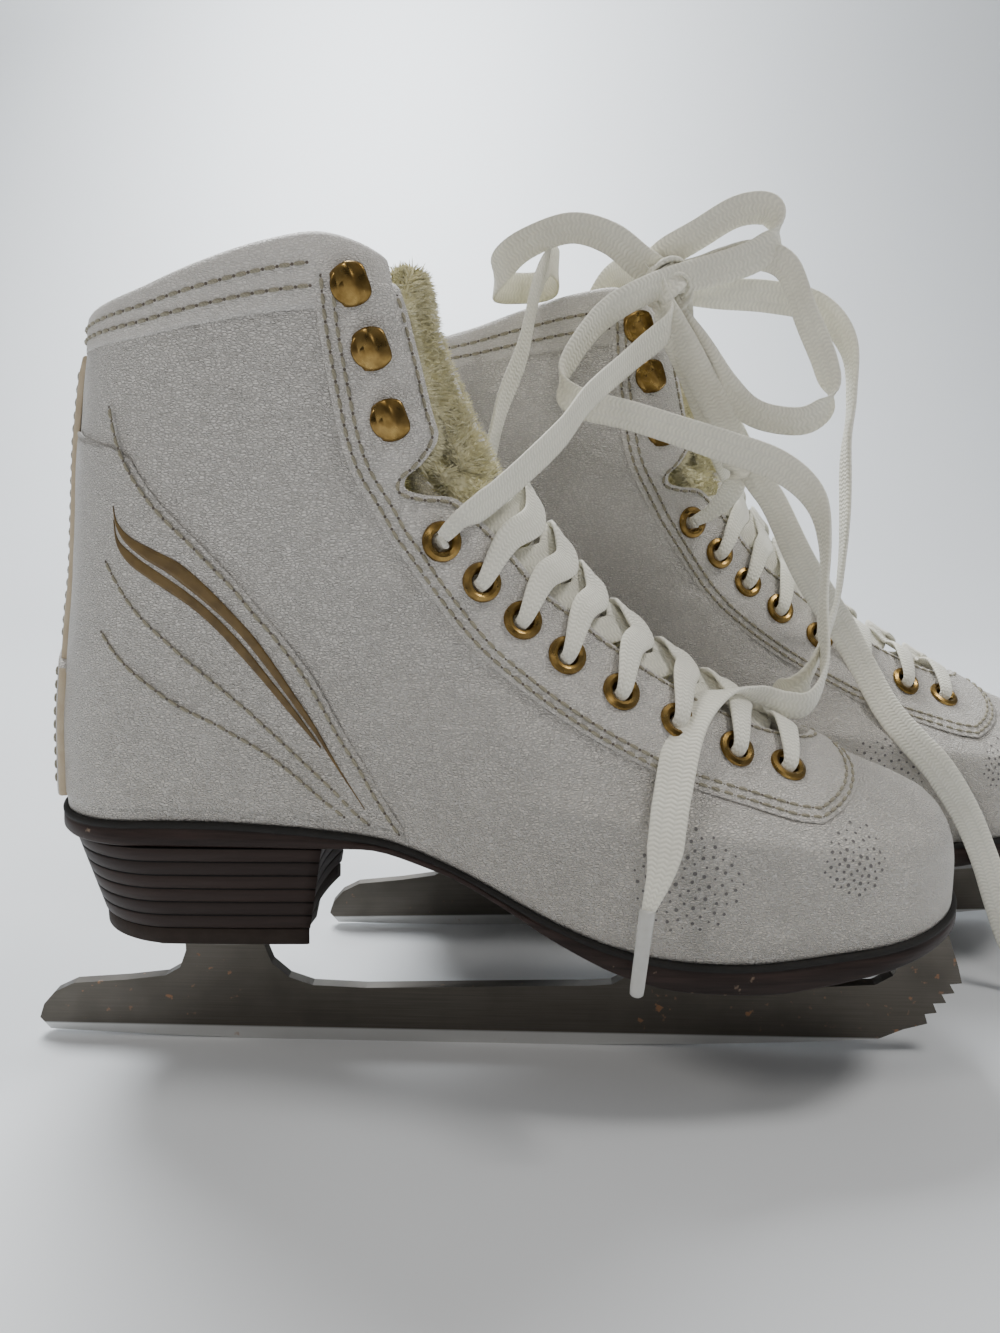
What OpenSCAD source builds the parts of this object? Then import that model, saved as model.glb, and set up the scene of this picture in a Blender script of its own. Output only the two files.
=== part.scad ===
// Pair of figure skates: fleece-lined laced boots with stacked heels and steel blades.
// X runs toward the toes, Y to the left foot, Z up from the ice. All lengths in millimetres.

/* [Boot] */
// Length of the boot from the back of the heel to the tip of the toe
boot_length = 254; // [200:1:320]
// Width of the boot across the ball of the foot
boot_width = 87; // [70:1:110]
// Height of the top of the collar above the ice
boot_height = 220; // [180:1:270]
// Thickness of the leather of the upper
leather = 2.2; // [1.5:0.1:3]
// Thickness of the facing where it lies on the upper
facing = 1.2; // [0.8:0.1:2]
// Thickness of the fleece inside the boot
fleece = 4; // [2:0.5:6]

/* [Tongue] */
// Thickness of the leather of the tongue
tongue_leather = 1.8; // [1:0.1:3]
// Thickness of the fleece under the tongue
tongue_fleece = 4.5; // [2:0.5:6]
// Half width of the free tongue flap, as a share of half the way round the boot
flap_share = 0.2; // [0.14:0.01:0.22]

/* [Sole and heel] */
// How far the outsole stands out beyond the upper
welt = 1.5; // [0.5:0.1:4]
// Thickness of the lasting board
board = 2.5; // [1.5:0.1:4]
// Thickness of the loose sock
sock = 3; // [2:0.5:6]
// Number of leather lifts in the heel
lift_count = 6; // [3:1:9]
// Thickness of the rubber lift at the bottom of the heel
top_lift_height = 5; // [3:0.5:8]

/* [Blade] */
// Thickness of the blade
blade_thickness = 4; // [3:0.1:5]
// Radius of the curve along the running edge
rocker_radius = 1600; // [1000:50:2600]
// Flat length in the middle of the running edge
rocker_flat = 60; // [20:5:100]
// Thickness of the two mounting plates
plate = 2.5; // [1.5:0.1:4]

/* [Fastenings] */
// Bore of an eyelet
eyelet_bore = 5.2; // [4:0.1:6]
// Outer diameter of an eyelet's rim
eyelet_rim = 10.4; // [8:0.1:12]
// Diameter of a hook's cap
hook_cap = 11.6; // [9:0.1:14]
// Diameter of a plate screw's head
screw_head = 7.6; // [6:0.1:9]
// Diameter of a plate screw's shank
screw_shank = 3.6; // [3:0.1:5]

/* [Laces] */
// Width of the flat lace
lace_width = 8.4; // [5:0.1:10]
// Thickness of the flat lace
lace_thickness = 1.6; // [1:0.1:3]
// Length of a lace's end tip
aglet_length = 21; // [15:1:30]
// Diameter of a lace's end tip
aglet_diameter = 3.8; // [3:0.1:5]

/* [Pair] */
// Distance between the two blades
pair_spacing = 92; // [88:1:140]
// How far the left skate stands ahead of the right one
pair_stagger = 76; // [0:1:100]
// Angle by which each toe points outward
toe_out = 2; // [0:0.5:10]

/* [Hidden] */
fine = 40;
gap = 0.1;
stretch_x = boot_length / 254;
stretch_y = boot_width / 87;
stretch_z = boot_height / 220;

// Outlines of the boot seen from the side and from above, before stretching.
back_line = [[44, 2], [76, 0], [101, 1], [130, 5], [141, 7], [176, 10], [206, 15], [224, 18]];
ridge_line = [
    [44, 253.6], [60, 253.4], [66, 253], [72, 251.5], [76, 249.5], [80, 245], [84, 238],
    [88, 229], [92, 219], [96, 210.5], [103, 198], [112, 183], [122, 168], [135, 152.5],
    [150, 140], [163, 131], [180, 123], [195, 118], [210, 114.5], [224, 112]
];
seat_line = [
    [0, 76], [31, 77], [49, 77], [67, 76], [78, 75], [92, 73.5], [99, 71.5], [113, 66],
    [125, 60.5], [139, 54], [153, 49], [168, 46], [185, 45], [196, 45.5], [210, 47],
    [224, 48.5], [254, 51]
];
collar_line = [
    [15, 206], [38, 210], [52, 214], [65, 217.5], [75, 219.5], [81, 220.5], [88, 219.5],
    [96, 216.5], [100, 213], [114, 209]
];
sole_line = [
    [0, 70], [92, 70], [104, 66], [113, 63], [125, 57], [139, 49], [154, 42], [168, 38],
    [185, 37], [197, 37], [211, 39], [224, 41.5], [240, 44], [260, 46.5]
];
shaft_half = [[76, 29], [100, 29.5], [125, 32], [150, 34], [175, 34.5], [206, 37], [222, 38.5]];
foot_half = [
    [0, 28], [40, 29], [80, 29], [110, 32], [135, 37], [165, 42.5], [190, 43.5],
    [210, 42], [230, 40], [254, 38]
];
back_round = [[76, 27], [120, 30], [206, 42]];
ridge_round = [[50, 34], [70, 38], [85, 46], [100, 52], [150, 50], [180, 46], [222, 46]];
ridge_power = [[50, 0.5], [76, 0.5], [92, 0.7], [150, 0.7], [175, 0.5], [222, 0.5]];
ridge_rise = [
    [0, 50.8], [0.06, 60], [0.12, 70], [0.18, 78], [0.25, 84], [0.32, 90], [0.4, 97],
    [0.5, 108], [0.6, 122], [0.7, 142], [0.8, 165], [0.9, 188], [1, 211], [1.1, 234]
];
centre_line = [[0, 0], [100, 0], [150, -1], [254, 5]];
heel_low = 41;
heel_top = 70;

// Facing: each entry is a point on the opening's edge and its partner on the stitched edge.
facing_edges = [
    [[99, 213.5], [80, 219.5]], [[101.5, 206], [80.5, 209]], [[103.5, 198], [81.5, 199]],
    [[105.5, 190], [83, 189]], [[107.5, 182], [84.5, 180]], [[108.5, 177], [86, 173.5]],
    [[105, 171], [88, 168]], [[101, 167.5], [90, 164]], [[101, 164.5], [92, 160.5]],
    [[106, 163], [94.5, 156]], [[113, 162], [97, 151.5]], [[120, 155.5], [101, 146]],
    [[127, 148], [106.5, 138]], [[137, 137], [114, 128]], [[149, 127.5], [124, 118.5]],
    [[162, 118], [137, 109]], [[177, 109], [153, 99.5]], [[190, 102.5], [170, 91]],
    [[200, 98.5], [187, 85.5]], [[206, 96.8], [204, 81]], [[209, 96.2], [214, 82]]
];
facing_front = [96, 91.2];
facing_shares = [0, 0.4, 0.8, 0.84, 1];
eyelet_places = [
    [109, 151.5], [119, 141], [129.5, 131], [141, 122], [155, 112.5], [170, 104.5],
    [186, 96.5], [200.5, 91]
];
hook_places = [[88, 212], [92.3, 197.5], [96.5, 181]];
// Side-view places where each crossing of the lacing passes over and under the facing's edge.
lace_over_places = [[114, 161], [124, 151], [133.5, 140.5], [144, 131.5], [157, 121.5],
    [171.5, 112.5], [187, 104], [201, 98]];
lace_under_places = [[119, 156.5], [128.5, 146], [138, 136], [148.5, 128], [161.5, 118.5],
    [175.5, 110], [191, 102], [205, 97]];
// Rises at which the crossings pass the middle of the tongue.
lace_tops = [0.82, 0.766, 0.72, 0.672, 0.62, 0.56, 0.495, 0.425];

// Offsets of the layers from the outer face of the upper, outward positive.
stiffener_out = -leather - gap;
stiffener_in = stiffener_out - 1.1;
lining_out = stiffener_in - gap;
lining_in = lining_out - fleece;
tongue_mid = -4.5;
tongue_side = -5.9;

function mix(a, b, t) = a + (b - a) * t;
function clamp(t) = max(0, min(1, t));
function ease(t) = clamp(t) * clamp(t) * (3 - 2 * clamp(t));
function soft(x, line, reach) =
    (lookup(x - reach, line) + 2 * lookup(x, line) + lookup(x + reach, line)) / 4;
function unit(v) = v / norm(v);

function back_x(z) = soft(z, back_line, 5);
function ridge_x(z) = soft(z, ridge_line, 3);
function ridge_slope(z) = (ridge_x(z + 4) - ridge_x(z - 4)) / 8;
function seat_z(x) = soft(x, seat_line, 6);
function collar_z(x) = soft(x, collar_line, 3);
function sole_z(x) = soft(x, sole_line, 4);
function full_half(x, z) = mix(
    soft(z, shaft_half, 8), soft(x, foot_half, 8),
    ease((x - 70) / 70) * (1 - ease((z - 105) / 60)));
function rounding(t, power) = pow(1 - pow(1 - clamp(t), 2), power);

// Half width of the boot at a point of its side view.
function half_at(x, z) =
    let (ahead = (ridge_x(z) - x) / sqrt(1 + pow(ridge_slope(z), 2)))
    let (tuck = 1.5 * pow(clamp(1 - (z - seat_z(x)) / 8), 2))
    (full_half(x, z) - tuck)
        * rounding(ahead / lookup(z, ridge_round), soft(z, ridge_power, 6))
        * rounding((x - back_x(z)) / lookup(z, back_round), 0.5);

// Slices of the boot: `rise` runs from the sole (0) to the collar (1).
function back_rise(rise) = 76 + 130 * rise;
function front_rise(rise) = lookup(rise, ridge_rise);
function slice_x(rise, share) =
    mix(back_x(back_rise(rise)), ridge_x(front_rise(rise)), share);
function sole_sag(share) =
    seat_z(slice_x(0, share)) - mix(seat_z(slice_x(0, 0)), seat_z(slice_x(0, 1)), share);
function collar_sag(share) =
    collar_z(slice_x(1, share)) - mix(collar_z(slice_x(1, 0)), collar_z(slice_x(1, 1)), share);
function slice_z(rise, share) =
    mix(back_rise(rise), front_rise(rise), share)
        + sole_sag(share) * pow(1 - rise, 3) + collar_sag(share) * pow(rise, 4);

// Point of the boot's outer face; `round` is 0 at the back, -1 and 1 at the front ridge.
function wrap(round) = round > 1 ? round - 2 : round < -1 ? round + 2 : round;
function spot(rise, round) =
    let (turn = wrap(round), share = (1 - cos(180 * abs(turn))) / 2)
    let (x = slice_x(rise, share), z = slice_z(rise, share))
    [stretch_x * x, stretch_y * (sign(turn) * half_at(x, z) + lookup(x, centre_line)),
        stretch_z * z];
function outward(rise, round) = unit(cross(
    spot(min(rise + 0.004, 1.08), round) - spot(max(rise - 0.004, 0), round),
    spot(rise, round + 0.004) - spot(rise, round - 0.004)));
function skin(rise, round, offset) = spot(rise, round) + offset * outward(rise, round);

// The slice and the way round that belong to a point of the side view.
function share_at(rise, x) =
    clamp((x - slice_x(rise, 0)) / (slice_x(rise, 1) - slice_x(rise, 0)));
function rise_at(x, z, low = 0, high = 1.05, steps = 16) =
    let (middle = (low + high) / 2)
    steps == 0 ? middle
        : slice_z(middle, share_at(middle, x)) < z
            ? rise_at(x, z, middle, high, steps - 1)
            : rise_at(x, z, low, middle, steps - 1);
function place_at(x, z) =
    let (rise = rise_at(x, z)) [rise, acos(1 - 2 * share_at(rise, x)) / 180];

// Opening of the upper at a share of the way from the facing's edge to its stitched line.
function front_place(share) =
    let (z = mix(facing_front[0], facing_front[1], share)) place_at(ridge_x(z), z);
function edge_place(i, share) =
    let (p = mix(facing_edges[i][0], facing_edges[i][1], share)) place_at(p[0], p[1]);
function edge_line(share) = [for (i = [0:19]) edge_place(i, share)];
upper_edge = edge_line(0.82);
lining_high_edge = edge_line(0.06);
lining_low_edge = edge_line(0.88);
throat_rise = front_place(0.82)[0];
function lining_reach(rise) =
    lookup(rise, rise > 0.8 ? lining_high_edge : lining_low_edge);

flap_start = 0.815;
eyelet_spots = [for (p = eyelet_places) place_at(p[0], p[1])];
hook_spots = [for (p = hook_places) place_at(p[0], p[1])];
lace_over_spots = [for (p = lace_over_places) place_at(p[0], p[1])];
lace_under_spots = [for (p = lace_under_places) place_at(p[0], p[1])];

// Triangles of a four-cornered face.
function quad(a, b, c, d) = [[a, b, c], [a, c, d]];

// A closed skin between an outer and an inner grid; rows up to `joined` close on themselves.
module sheet(outer, inner, joined = -1) {
    rows = len(outer);
    columns = len(outer[0]);
    function spot_index(layer, r, c) =
        (layer * rows + r) * columns + ((c == columns - 1 && r <= joined) ? 0 : c);
    polyhedron(
        points = concat([for (row = outer) each row], [for (row = inner) each row]),
        faces = concat(
            [for (r = [0:rows - 2], c = [0:columns - 2]) each quad(
                spot_index(0, r, c), spot_index(0, r, c + 1),
                spot_index(0, r + 1, c + 1), spot_index(0, r + 1, c))],
            [for (r = [0:rows - 2], c = [0:columns - 2]) each quad(
                spot_index(1, r, c), spot_index(1, r + 1, c),
                spot_index(1, r + 1, c + 1), spot_index(1, r, c + 1))],
            [for (c = [0:columns - 2]) each quad(
                spot_index(0, 0, c + 1), spot_index(0, 0, c),
                spot_index(1, 0, c), spot_index(1, 0, c + 1))],
            [for (c = [0:columns - 2]) each quad(
                spot_index(0, rows - 1, c), spot_index(0, rows - 1, c + 1),
                spot_index(1, rows - 1, c + 1), spot_index(1, rows - 1, c))],
            [for (r = [max(joined, 0):rows - 2]) each quad(
                spot_index(0, r, 0), spot_index(0, r + 1, 0),
                spot_index(1, r + 1, 0), spot_index(1, r, 0))],
            [for (r = [max(joined, 0):rows - 2]) each quad(
                spot_index(0, r + 1, columns - 1), spot_index(0, r, columns - 1),
                spot_index(1, r, columns - 1), spot_index(1, r + 1, columns - 1))]),
        convexity = 8);
}

// A closed tube through rings that have the same number of points each.
module tube(rings) {
    count = len(rings[0]);
    last = len(rings) - 1;
    polyhedron(
        points = [for (ring = rings) each ring],
        faces = concat(
            [[for (j = [0:count - 1]) j]],
            [for (i = [0:last - 1], j = [0:count - 1]) each quad(
                i * count + j, (i + 1) * count + j,
                (i + 1) * count + (j + 1) % count, i * count + (j + 1) % count)],
            [[for (j = [count - 1:-1:0]) last * count + j]]),
        convexity = 8);
}

// A patch of the boot's face between two slices and two ways round.
module patch(rises, rounds, outer_offset, inner_offset) {
    sheet(
        [for (u = rises) [for (s = rounds) skin(u, s, outer_offset)]],
        [for (u = rises) [for (s = rounds) skin(u, s, inner_offset)]]);
}
function steps(from, to, count) = [for (i = [0:count]) mix(from, to, i / count)];

// Puts a child's own Z axis along the boot's outward direction.
module stand(place, side, offset) {
    point = skin(place[0], side * place[1], offset);
    aim = outward(place[0], side * place[1]);
    translate(point)
        rotate([0, acos(aim[2]), atan2(aim[1], aim[0])])
            children();
}

// Leather upper ------------------------------------------------------------------------
upper_rises = [
    0, 0.05, 0.1, 0.15, 0.2, 0.25, 0.3, throat_rise, throat_rise + 0.03, 0.43, 0.51, 0.6,
    0.7, 0.79, 0.86, 0.93, 1
];
upper_columns = 40;
// Ways round are evenly spread over the back half; the front half ends at the opening's edge.
function spread_round(even, reach) =
    sign(even) * (abs(even) < 0.5 ? abs(even) : mix(0.5, reach, 2 * abs(even) - 1));
function upper_round(rise, c) = spread_round(
    2 * c / upper_columns - 1, rise > throat_rise ? lookup(rise, upper_edge) : 1);
function upper_face(offset) = [for (u = upper_rises)
    [for (c = [0:upper_columns]) skin(u, upper_round(u, c), offset)]];
module upper() {
    color("#dcdcda") translate([0, 0, gap])
        sheet(upper_face(0), upper_face(-leather), 7);
}

// Places along the facing, from the outer side round the throat to the inner side.
function facing_path(share) = concat(
    [for (i = [0:len(facing_edges) - 1])
        let (p = edge_place(i, share)) [p[0], -p[1]]],
    [[front_place(share)[0], 1]],
    [for (i = [len(facing_edges) - 1:-1:0]) edge_place(i, share)]);
module facing_sheet() {
    sheet(
        [for (t = facing_shares) [for (p = facing_path(t)) skin(p[0], p[1], facing)]],
        [for (t = facing_shares)
            [for (p = facing_path(t)) skin(p[0], p[1], t > 0.81 ? gap / 2 : -leather)]]);
}
module eyestay() {
    color("#e0e0de") difference() {
        facing_sheet();
        for (place = eyelet_spots, side = [-1, 1])
            stand(place, side, -leather - 3)
                cylinder(h = leather + facing + 6, r = eyelet_bore / 2 + 0.9, $fn = 24);
        for (place = hook_spots, side = [-1, 1])
            stand(place, side, -leather - 3)
                cylinder(h = leather + facing + 6, r = 1.7, $fn = 16);
    }
}

// Collar binding, heel leather and backstay ---------------------------------------------
binding_section = [
    [0, 7], [0, -gap], [stiffener_out, -gap], [stiffener_out, 5], [lining_out + gap, 5],
    [lining_out + gap, -1.2], [0.9, -1.2], [0.9, 7]
];
binding_end = edge_place(0, 1)[1];
module collar_binding() {
    color("#d6d4cf") tube([for (s = steps(-binding_end, binding_end, 32))
        [for (p = binding_section) skin(1 - p[1] / 130, s, p[0] + (p[0] == 0 ? gap / 2 : 0))]]);
}
heel_panel_line = [[0.04, 0.5], [0.2, 0.47], [0.4, 0.38], [0.6, 0.27], [0.8, 0.14]];
module heel_panel() {
    rises = steps(0.03, 0.78, 9);
    color("#dadad8") sheet(
        [for (u = rises) [for (c = steps(-1, 1, 18))
            skin(u, c * lookup(u, heel_panel_line), 0.8)]],
        [for (u = rises) [for (c = steps(-1, 1, 18))
            skin(u, c * lookup(u, heel_panel_line), gap)]]);
}
module backstay() {
    color("#c9b99a") patch(steps(0.36, 0.93, 9), steps(-0.07, 0.07, 3), 1.9, 0.9);
}
module backstay_patch() {
    color("#cdbb98") patch(steps(0.03, 0.34, 5), steps(-0.085, 0.085, 3), 2.4, 0.9);
}

// Stiffeners and lining ------------------------------------------------------------------
module heel_stiffener() {
    color("#8d6b48") patch(steps(0.03, 0.42, 7), steps(-0.42, 0.42, 14), stiffener_out,
        stiffener_in);
}
module toe_puff() {
    color("#9a7650") patch(steps(0.04, 0.27, 5), steps(0.62, 1.38, 12), stiffener_out,
        stiffener_in);
}
lining_rises = [
    0.03, 0.1, 0.17, 0.24, 0.3, throat_rise, throat_rise + 0.04, 0.45, 0.56, 0.67, 0.76,
    0.83, 0.91, 0.99
];
lining_columns = 32;
function lining_round(rise, c) = spread_round(
    2 * c / lining_columns - 1, rise > throat_rise ? lining_reach(rise) : 1);
function lining_face(offset) = [for (u = lining_rises)
    [for (c = [0:lining_columns]) skin(u, lining_round(u, c), offset)]];
module lining() {
    color("#d8cfae") sheet(lining_face(lining_out), lining_face(lining_in), 5);
}

// Tongue: a laced-down base and a free flap above the bend -------------------------------
function base_drop(share) = mix(tongue_mid, tongue_side, ease(abs(share)));
module tongue_piece(rises, spread, outer_drop, inner_drop, low_side) {
    columns = steps(-1, 1, 10);
    sheet(
        [for (u = rises) [for (c = columns)
            skin(u, 1 + spread * c, (low_side ? base_drop(c) : tongue_mid) + outer_drop)]],
        [for (u = rises) [for (c = columns)
            skin(u, 1 + spread * c, (low_side ? base_drop(c) : tongue_mid) + inner_drop)]]);
}
base_rises = [0.38, 0.45, 0.53, 0.61, 0.7, flap_start - 0.005];
flap_rises = steps(flap_start, 1.04, 4);
module tongue_base() {
    color("#e3e2de") tongue_piece(base_rises, 0.27, 0, -tongue_leather, true);
}
module fleece_base() {
    color("#d9d0b0") tongue_piece(base_rises, 0.25, -tongue_leather - gap,
        -tongue_leather - gap - tongue_fleece, true);
}
module tongue_flap() {
    color("#e3e2de") tongue_piece(flap_rises, flap_share, 0, -tongue_leather, false);
}
module fleece_flap() {
    color("#d9d0b0") tongue_piece(flap_rises, flap_share, -tongue_leather - gap,
        -tongue_leather - gap - tongue_fleece, false);
}

// Sole, board and sock -------------------------------------------------------------------
function outline(offset) = [for (i = [0:55])
    let (s = 2 * i / 56 - 1, p = spot(0, s), n = outward(0, s))
        [p[0], p[1]] + offset * unit([n[0], n[1]])];
plate_stations = [157, 167, 180, 198, 215, 232, 252];
sole_stations = concat([-4, 12, 31, 50, 67, 80, 92, 100, 108, 117, 126, 134, 143, 150],
    plate_stations, [262]);
// A slab between two curves of the side view, as wide as a plan outline.
module slab(plan, low, high) {
    intersection() {
        linear_extrude(height = 120 * stretch_z)
            polygon(plan);
        rotate([90, 0, 0])
            linear_extrude(height = 140 * stretch_y, center = true)
                polygon(concat(low, [for (i = [len(high) - 1:-1:0]) high[i]]));
    }
}
function seat_curve(lift) =
    [for (x = sole_stations) [x * stretch_x, seat_z(x) * stretch_z + lift]];
function sole_curve(lift) =
    [for (x = sole_stations) [x * stretch_x, sole_z(x) * stretch_z + lift]];
module shank_space(extra) {
    stations = [45, 58, 71, 84, 97, 109, 121, 133, 145];
    rotate([90, 0, 0])
        linear_extrude(height = 14 + 2 * extra, center = true)
            polygon(concat(
                [for (x = stations) [x * stretch_x, seat_z(x) * stretch_z - 1.6 - extra]],
                [for (i = [len(stations) - 1:-1:0])
                    [stations[i] * stretch_x, seat_z(stations[i]) * stretch_z + 3 * extra]]));
}
module outsole() {
    color("#3a2b26") difference() {
        slab(outline(welt), sole_curve(0), seat_curve(0));
        shank_space(gap);
        for (p = sole_screws)
            translate([p[0] * stretch_x, p[1] * stretch_y, 0])
                cylinder(h = sole_z(p[0]) * stretch_z + sole_screw_reach + 0.5,
                    d = screw_shank + 0.2, $fn = 20);
    }
}
module shank() {
    color("#7d8287") difference() {
        shank_space(0);
        translate([0, -10, 0])
            cube([45.5 * stretch_x, 20, 120 * stretch_z]);
    }
}
module insole_board() {
    color("#b98f5e") slab(outline(lining_out + 0.4), seat_curve(gap), seat_curve(board));
}
module insole() {
    color("#cfc7a8") slab(outline(lining_in - 1.2), seat_curve(board + gap),
        seat_curve(board + gap + sock));
}

// Heel -----------------------------------------------------------------------------------
function heel_outline(share) =
    let (rear = mix(10, 1.5, share), breast = mix(72, 77, share), w = mix(25.5, 29.5, share))
    let (points = concat(
        [for (a = [90:15:270]) [rear + w + w * cos(a), w * sin(a)]],
        [[breast - 8, -0.99 * w], [breast, -0.96 * w], [breast - 2.5, -0.4 * w],
            [breast - 3, 0], [breast - 2.5, 0.4 * w], [breast, 0.96 * w],
            [breast - 8, 0.99 * w]]))
    [for (p = points) [p[0] * stretch_x, p[1] * stretch_y]];
lift_bottom = heel_low * stretch_z + top_lift_height;
lift_height = (heel_top * stretch_z - lift_bottom) / lift_count;
lift_weld = 0.05;
module heel_lifts() {
    color("#4a352c") difference() {
        for (i = [0:lift_count - 1])
            translate([0, 0, lift_bottom + i * lift_height])
                linear_extrude(height = lift_height + (i < lift_count - 1 ? lift_weld : 0))
                    polygon(heel_outline(mix(0.2, 1, (i + 0.5) / lift_count)));
        heel_bores();
    }
}
module top_lift() {
    color("#2b2220") difference() {
        translate([0, 0, heel_low * stretch_z])
            linear_extrude(height = top_lift_height - gap)
                polygon(heel_outline(0.08));
        heel_bores();
    }
}
heel_screws = [[24, -10], [24, 10], [43, -14], [43, 14], [62, -12], [62, 12]];
sole_screws = [[174, -16], [174, 16], [190, -17], [190, 17], [206, -15], [206, 15],
    [224, -10], [224, 10]];
heel_screw_reach = 18;
sole_screw_reach = 6;
head_height = 2;
head_recess = 1.2;
module heel_bores() {
    for (p = heel_screws)
        translate([p[0] * stretch_x, p[1] * stretch_y, heel_low * stretch_z - 1])
            cylinder(h = heel_screw_reach + 1.5, d = screw_shank + 0.2, $fn = 20);
}

// Blade, mounting plates and screws --------------------------------------------------------
plate_low = heel_low * stretch_z - plate;
module heel_plate() {
    color("#9a9ca0") difference() {
        translate([0, 0, plate_low])
            linear_extrude(height = plate)
                polygon([for (p = [
                    [20, -13], [23, -17], [30, -20], [52, -20], [62, -18.5], [68, -14],
                    [69.5, 0], [68, 14], [62, 18.5], [52, 20], [30, 20], [23, 17],
                    [20, 13], [17, 6], [16, 0], [17, -6]])
                    [p[0] * stretch_x, p[1] * stretch_y]]);
        for (p = heel_screws)
            translate([p[0] * stretch_x, p[1] * stretch_y, plate_low])
                screw_seat(plate);
    }
}
module screw_seat(depth) {
    translate([0, 0, -1])
        cylinder(h = depth + 2, d = screw_shank + 0.4, $fn = 20);
    translate([0, 0, -2])
        cylinder(h = 2 + head_recess, d = screw_head + 0.4, $fn = 24);
}
function plate_curve(lift) =
    [for (x = plate_stations) [x * stretch_x, sole_z(x) * stretch_z + lift]];
module sole_plate() {
    color("#9a9ca0") difference() {
        slab([for (p = [
                [159, -16], [163, -21], [170, -24], [196, -24], [214, -20], [232, -14],
                [246, -9], [250, -4], [250, 6], [246, 11], [232, 16], [214, 21],
                [196, 24], [170, 24], [163, 21], [159, 16], [157.5, 0]])
                [p[0] * stretch_x, p[1] * stretch_y]],
            plate_curve(-plate), plate_curve(-gap / 2));
        for (p = sole_screws)
            translate([p[0] * stretch_x, p[1] * stretch_y, sole_z(p[0]) * stretch_z - plate])
                screw_seat(plate);
    }
}
module screw(reach) {
    translate([0, 0, head_recess - head_height])
        difference() {
            cylinder(h = head_height, d = screw_head, $fn = 24);
            for (turn = [0, 90])
                rotate([0, 0, turn])
                    translate([-screw_head / 3, -0.5, -1])
                        cube([screw_head / 1.5, 1, 2]);
        }
    translate([0, 0, head_recess])
        cylinder(h = plate - head_recess + reach, d = screw_shank, $fn = 20);
}
module plate_screws() {
    color("#b4b0a4") {
        for (p = heel_screws)
            translate([p[0] * stretch_x, p[1] * stretch_y, plate_low])
                screw(heel_screw_reach);
        for (p = sole_screws)
            translate([p[0] * stretch_x, p[1] * stretch_y, sole_z(p[0]) * stretch_z - plate])
                screw(sole_screw_reach);
    }
}

blade_middle = 96;
function running_edge(x) =
    let (away = max(0, abs(x - blade_middle) - rocker_flat / 2))
    away * away / 2 / rocker_radius;
function plate_under(x) = sole_z(x) - (plate + gap) / stretch_z;
post_top = heel_low - (plate + gap / 2) / stretch_z;
blade_outline = concat(
    [for (x = [-12, 8, 28, 48, 66, 96, 126, 148, 170, 191, 210, 224, 236])
        [x, running_edge(x)]],
    [[243, 7], [250, 9], [249, 12], [252.5, 12.5], [251.2, 15.4], [255, 15.7],
        [253.4, 18.4], [257.2, 18.8], [255.5, 21.6], [259, 22], [257.6, 27], [255.4, 33],
        [252, plate_under(252)], [241.5, plate_under(241.5)], [241, 29], [239, 24],
        [234, 21], [219, 20], [204, 20], [198.5, 21], [196, 24.5],
        [195, plate_under(195)], [186, plate_under(186)], [176, plate_under(176)],
        [164, plate_under(164)], [163, 26], [161, 22], [157, 19.6], [150, 19],
        [138, 18.7], [84, 17], [68, 17.6], [61, 20], [56, 24.5], [54, 30], [54.5, post_top],
        [30.5, post_top], [30.5, 28], [28.5, 22.5], [24, 19.8], [12, 18.2], [-4, 16.8],
        [-10, 13.8], [-13.5, 9.8], [-15, 5.5]]);
module blade() {
    color("#8b8d90") rotate([90, 0, 0])
        linear_extrude(height = blade_thickness, center = true)
            polygon([for (p = blade_outline) [p[0] * stretch_x, p[1] * stretch_z]]);
}

// Eyelets and hooks ------------------------------------------------------------------------
eyelet_section = [
    [eyelet_bore / 2, -leather - 1], [eyelet_bore / 2 + 2, -leather - 1],
    [eyelet_bore / 2 + 2, -leather - 0.2], [eyelet_bore / 2 + 0.7, -leather - 0.2],
    [eyelet_bore / 2 + 0.7, facing + 0.2], [eyelet_rim / 2, facing + 0.2],
    [eyelet_rim / 2 - 0.3, facing + 0.9], [eyelet_rim / 2 - 1.3, facing + 1.3],
    [eyelet_bore / 2 + 0.4, facing + 0.9], [eyelet_bore / 2, facing + 0.3]
];
module eyelets() {
    color("#8a6f3c")
        for (place = eyelet_spots, side = [-1, 1])
            stand(place, side, 0)
                rotate_extrude($fn = fine)
                    polygon(eyelet_section);
}
module hooks() {
    color("#8a6f3c")
        for (place = hook_spots, side = [-1, 1])
            stand(place, side, 0) {
                translate([0, 0, facing + 0.2])
                    cylinder(h = 1, r = hook_cap / 2 - 1.2, $fn = fine);
                translate([0, 0, -leather - 1])
                    cylinder(h = 0.8, r = 3.4, $fn = fine);
                translate([0, 0, -leather - 0.3])
                    cylinder(h = leather + facing + 1, r = 1.5, $fn = fine);
                translate([0.5, -2.6, facing + 0.8])
                    cube([2, 5.2, 4.4]);
                translate([-1.5, 0, facing + 4.8])
                    cylinder(h = 1, r = hook_cap / 2, $fn = fine);
            }
}

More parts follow.
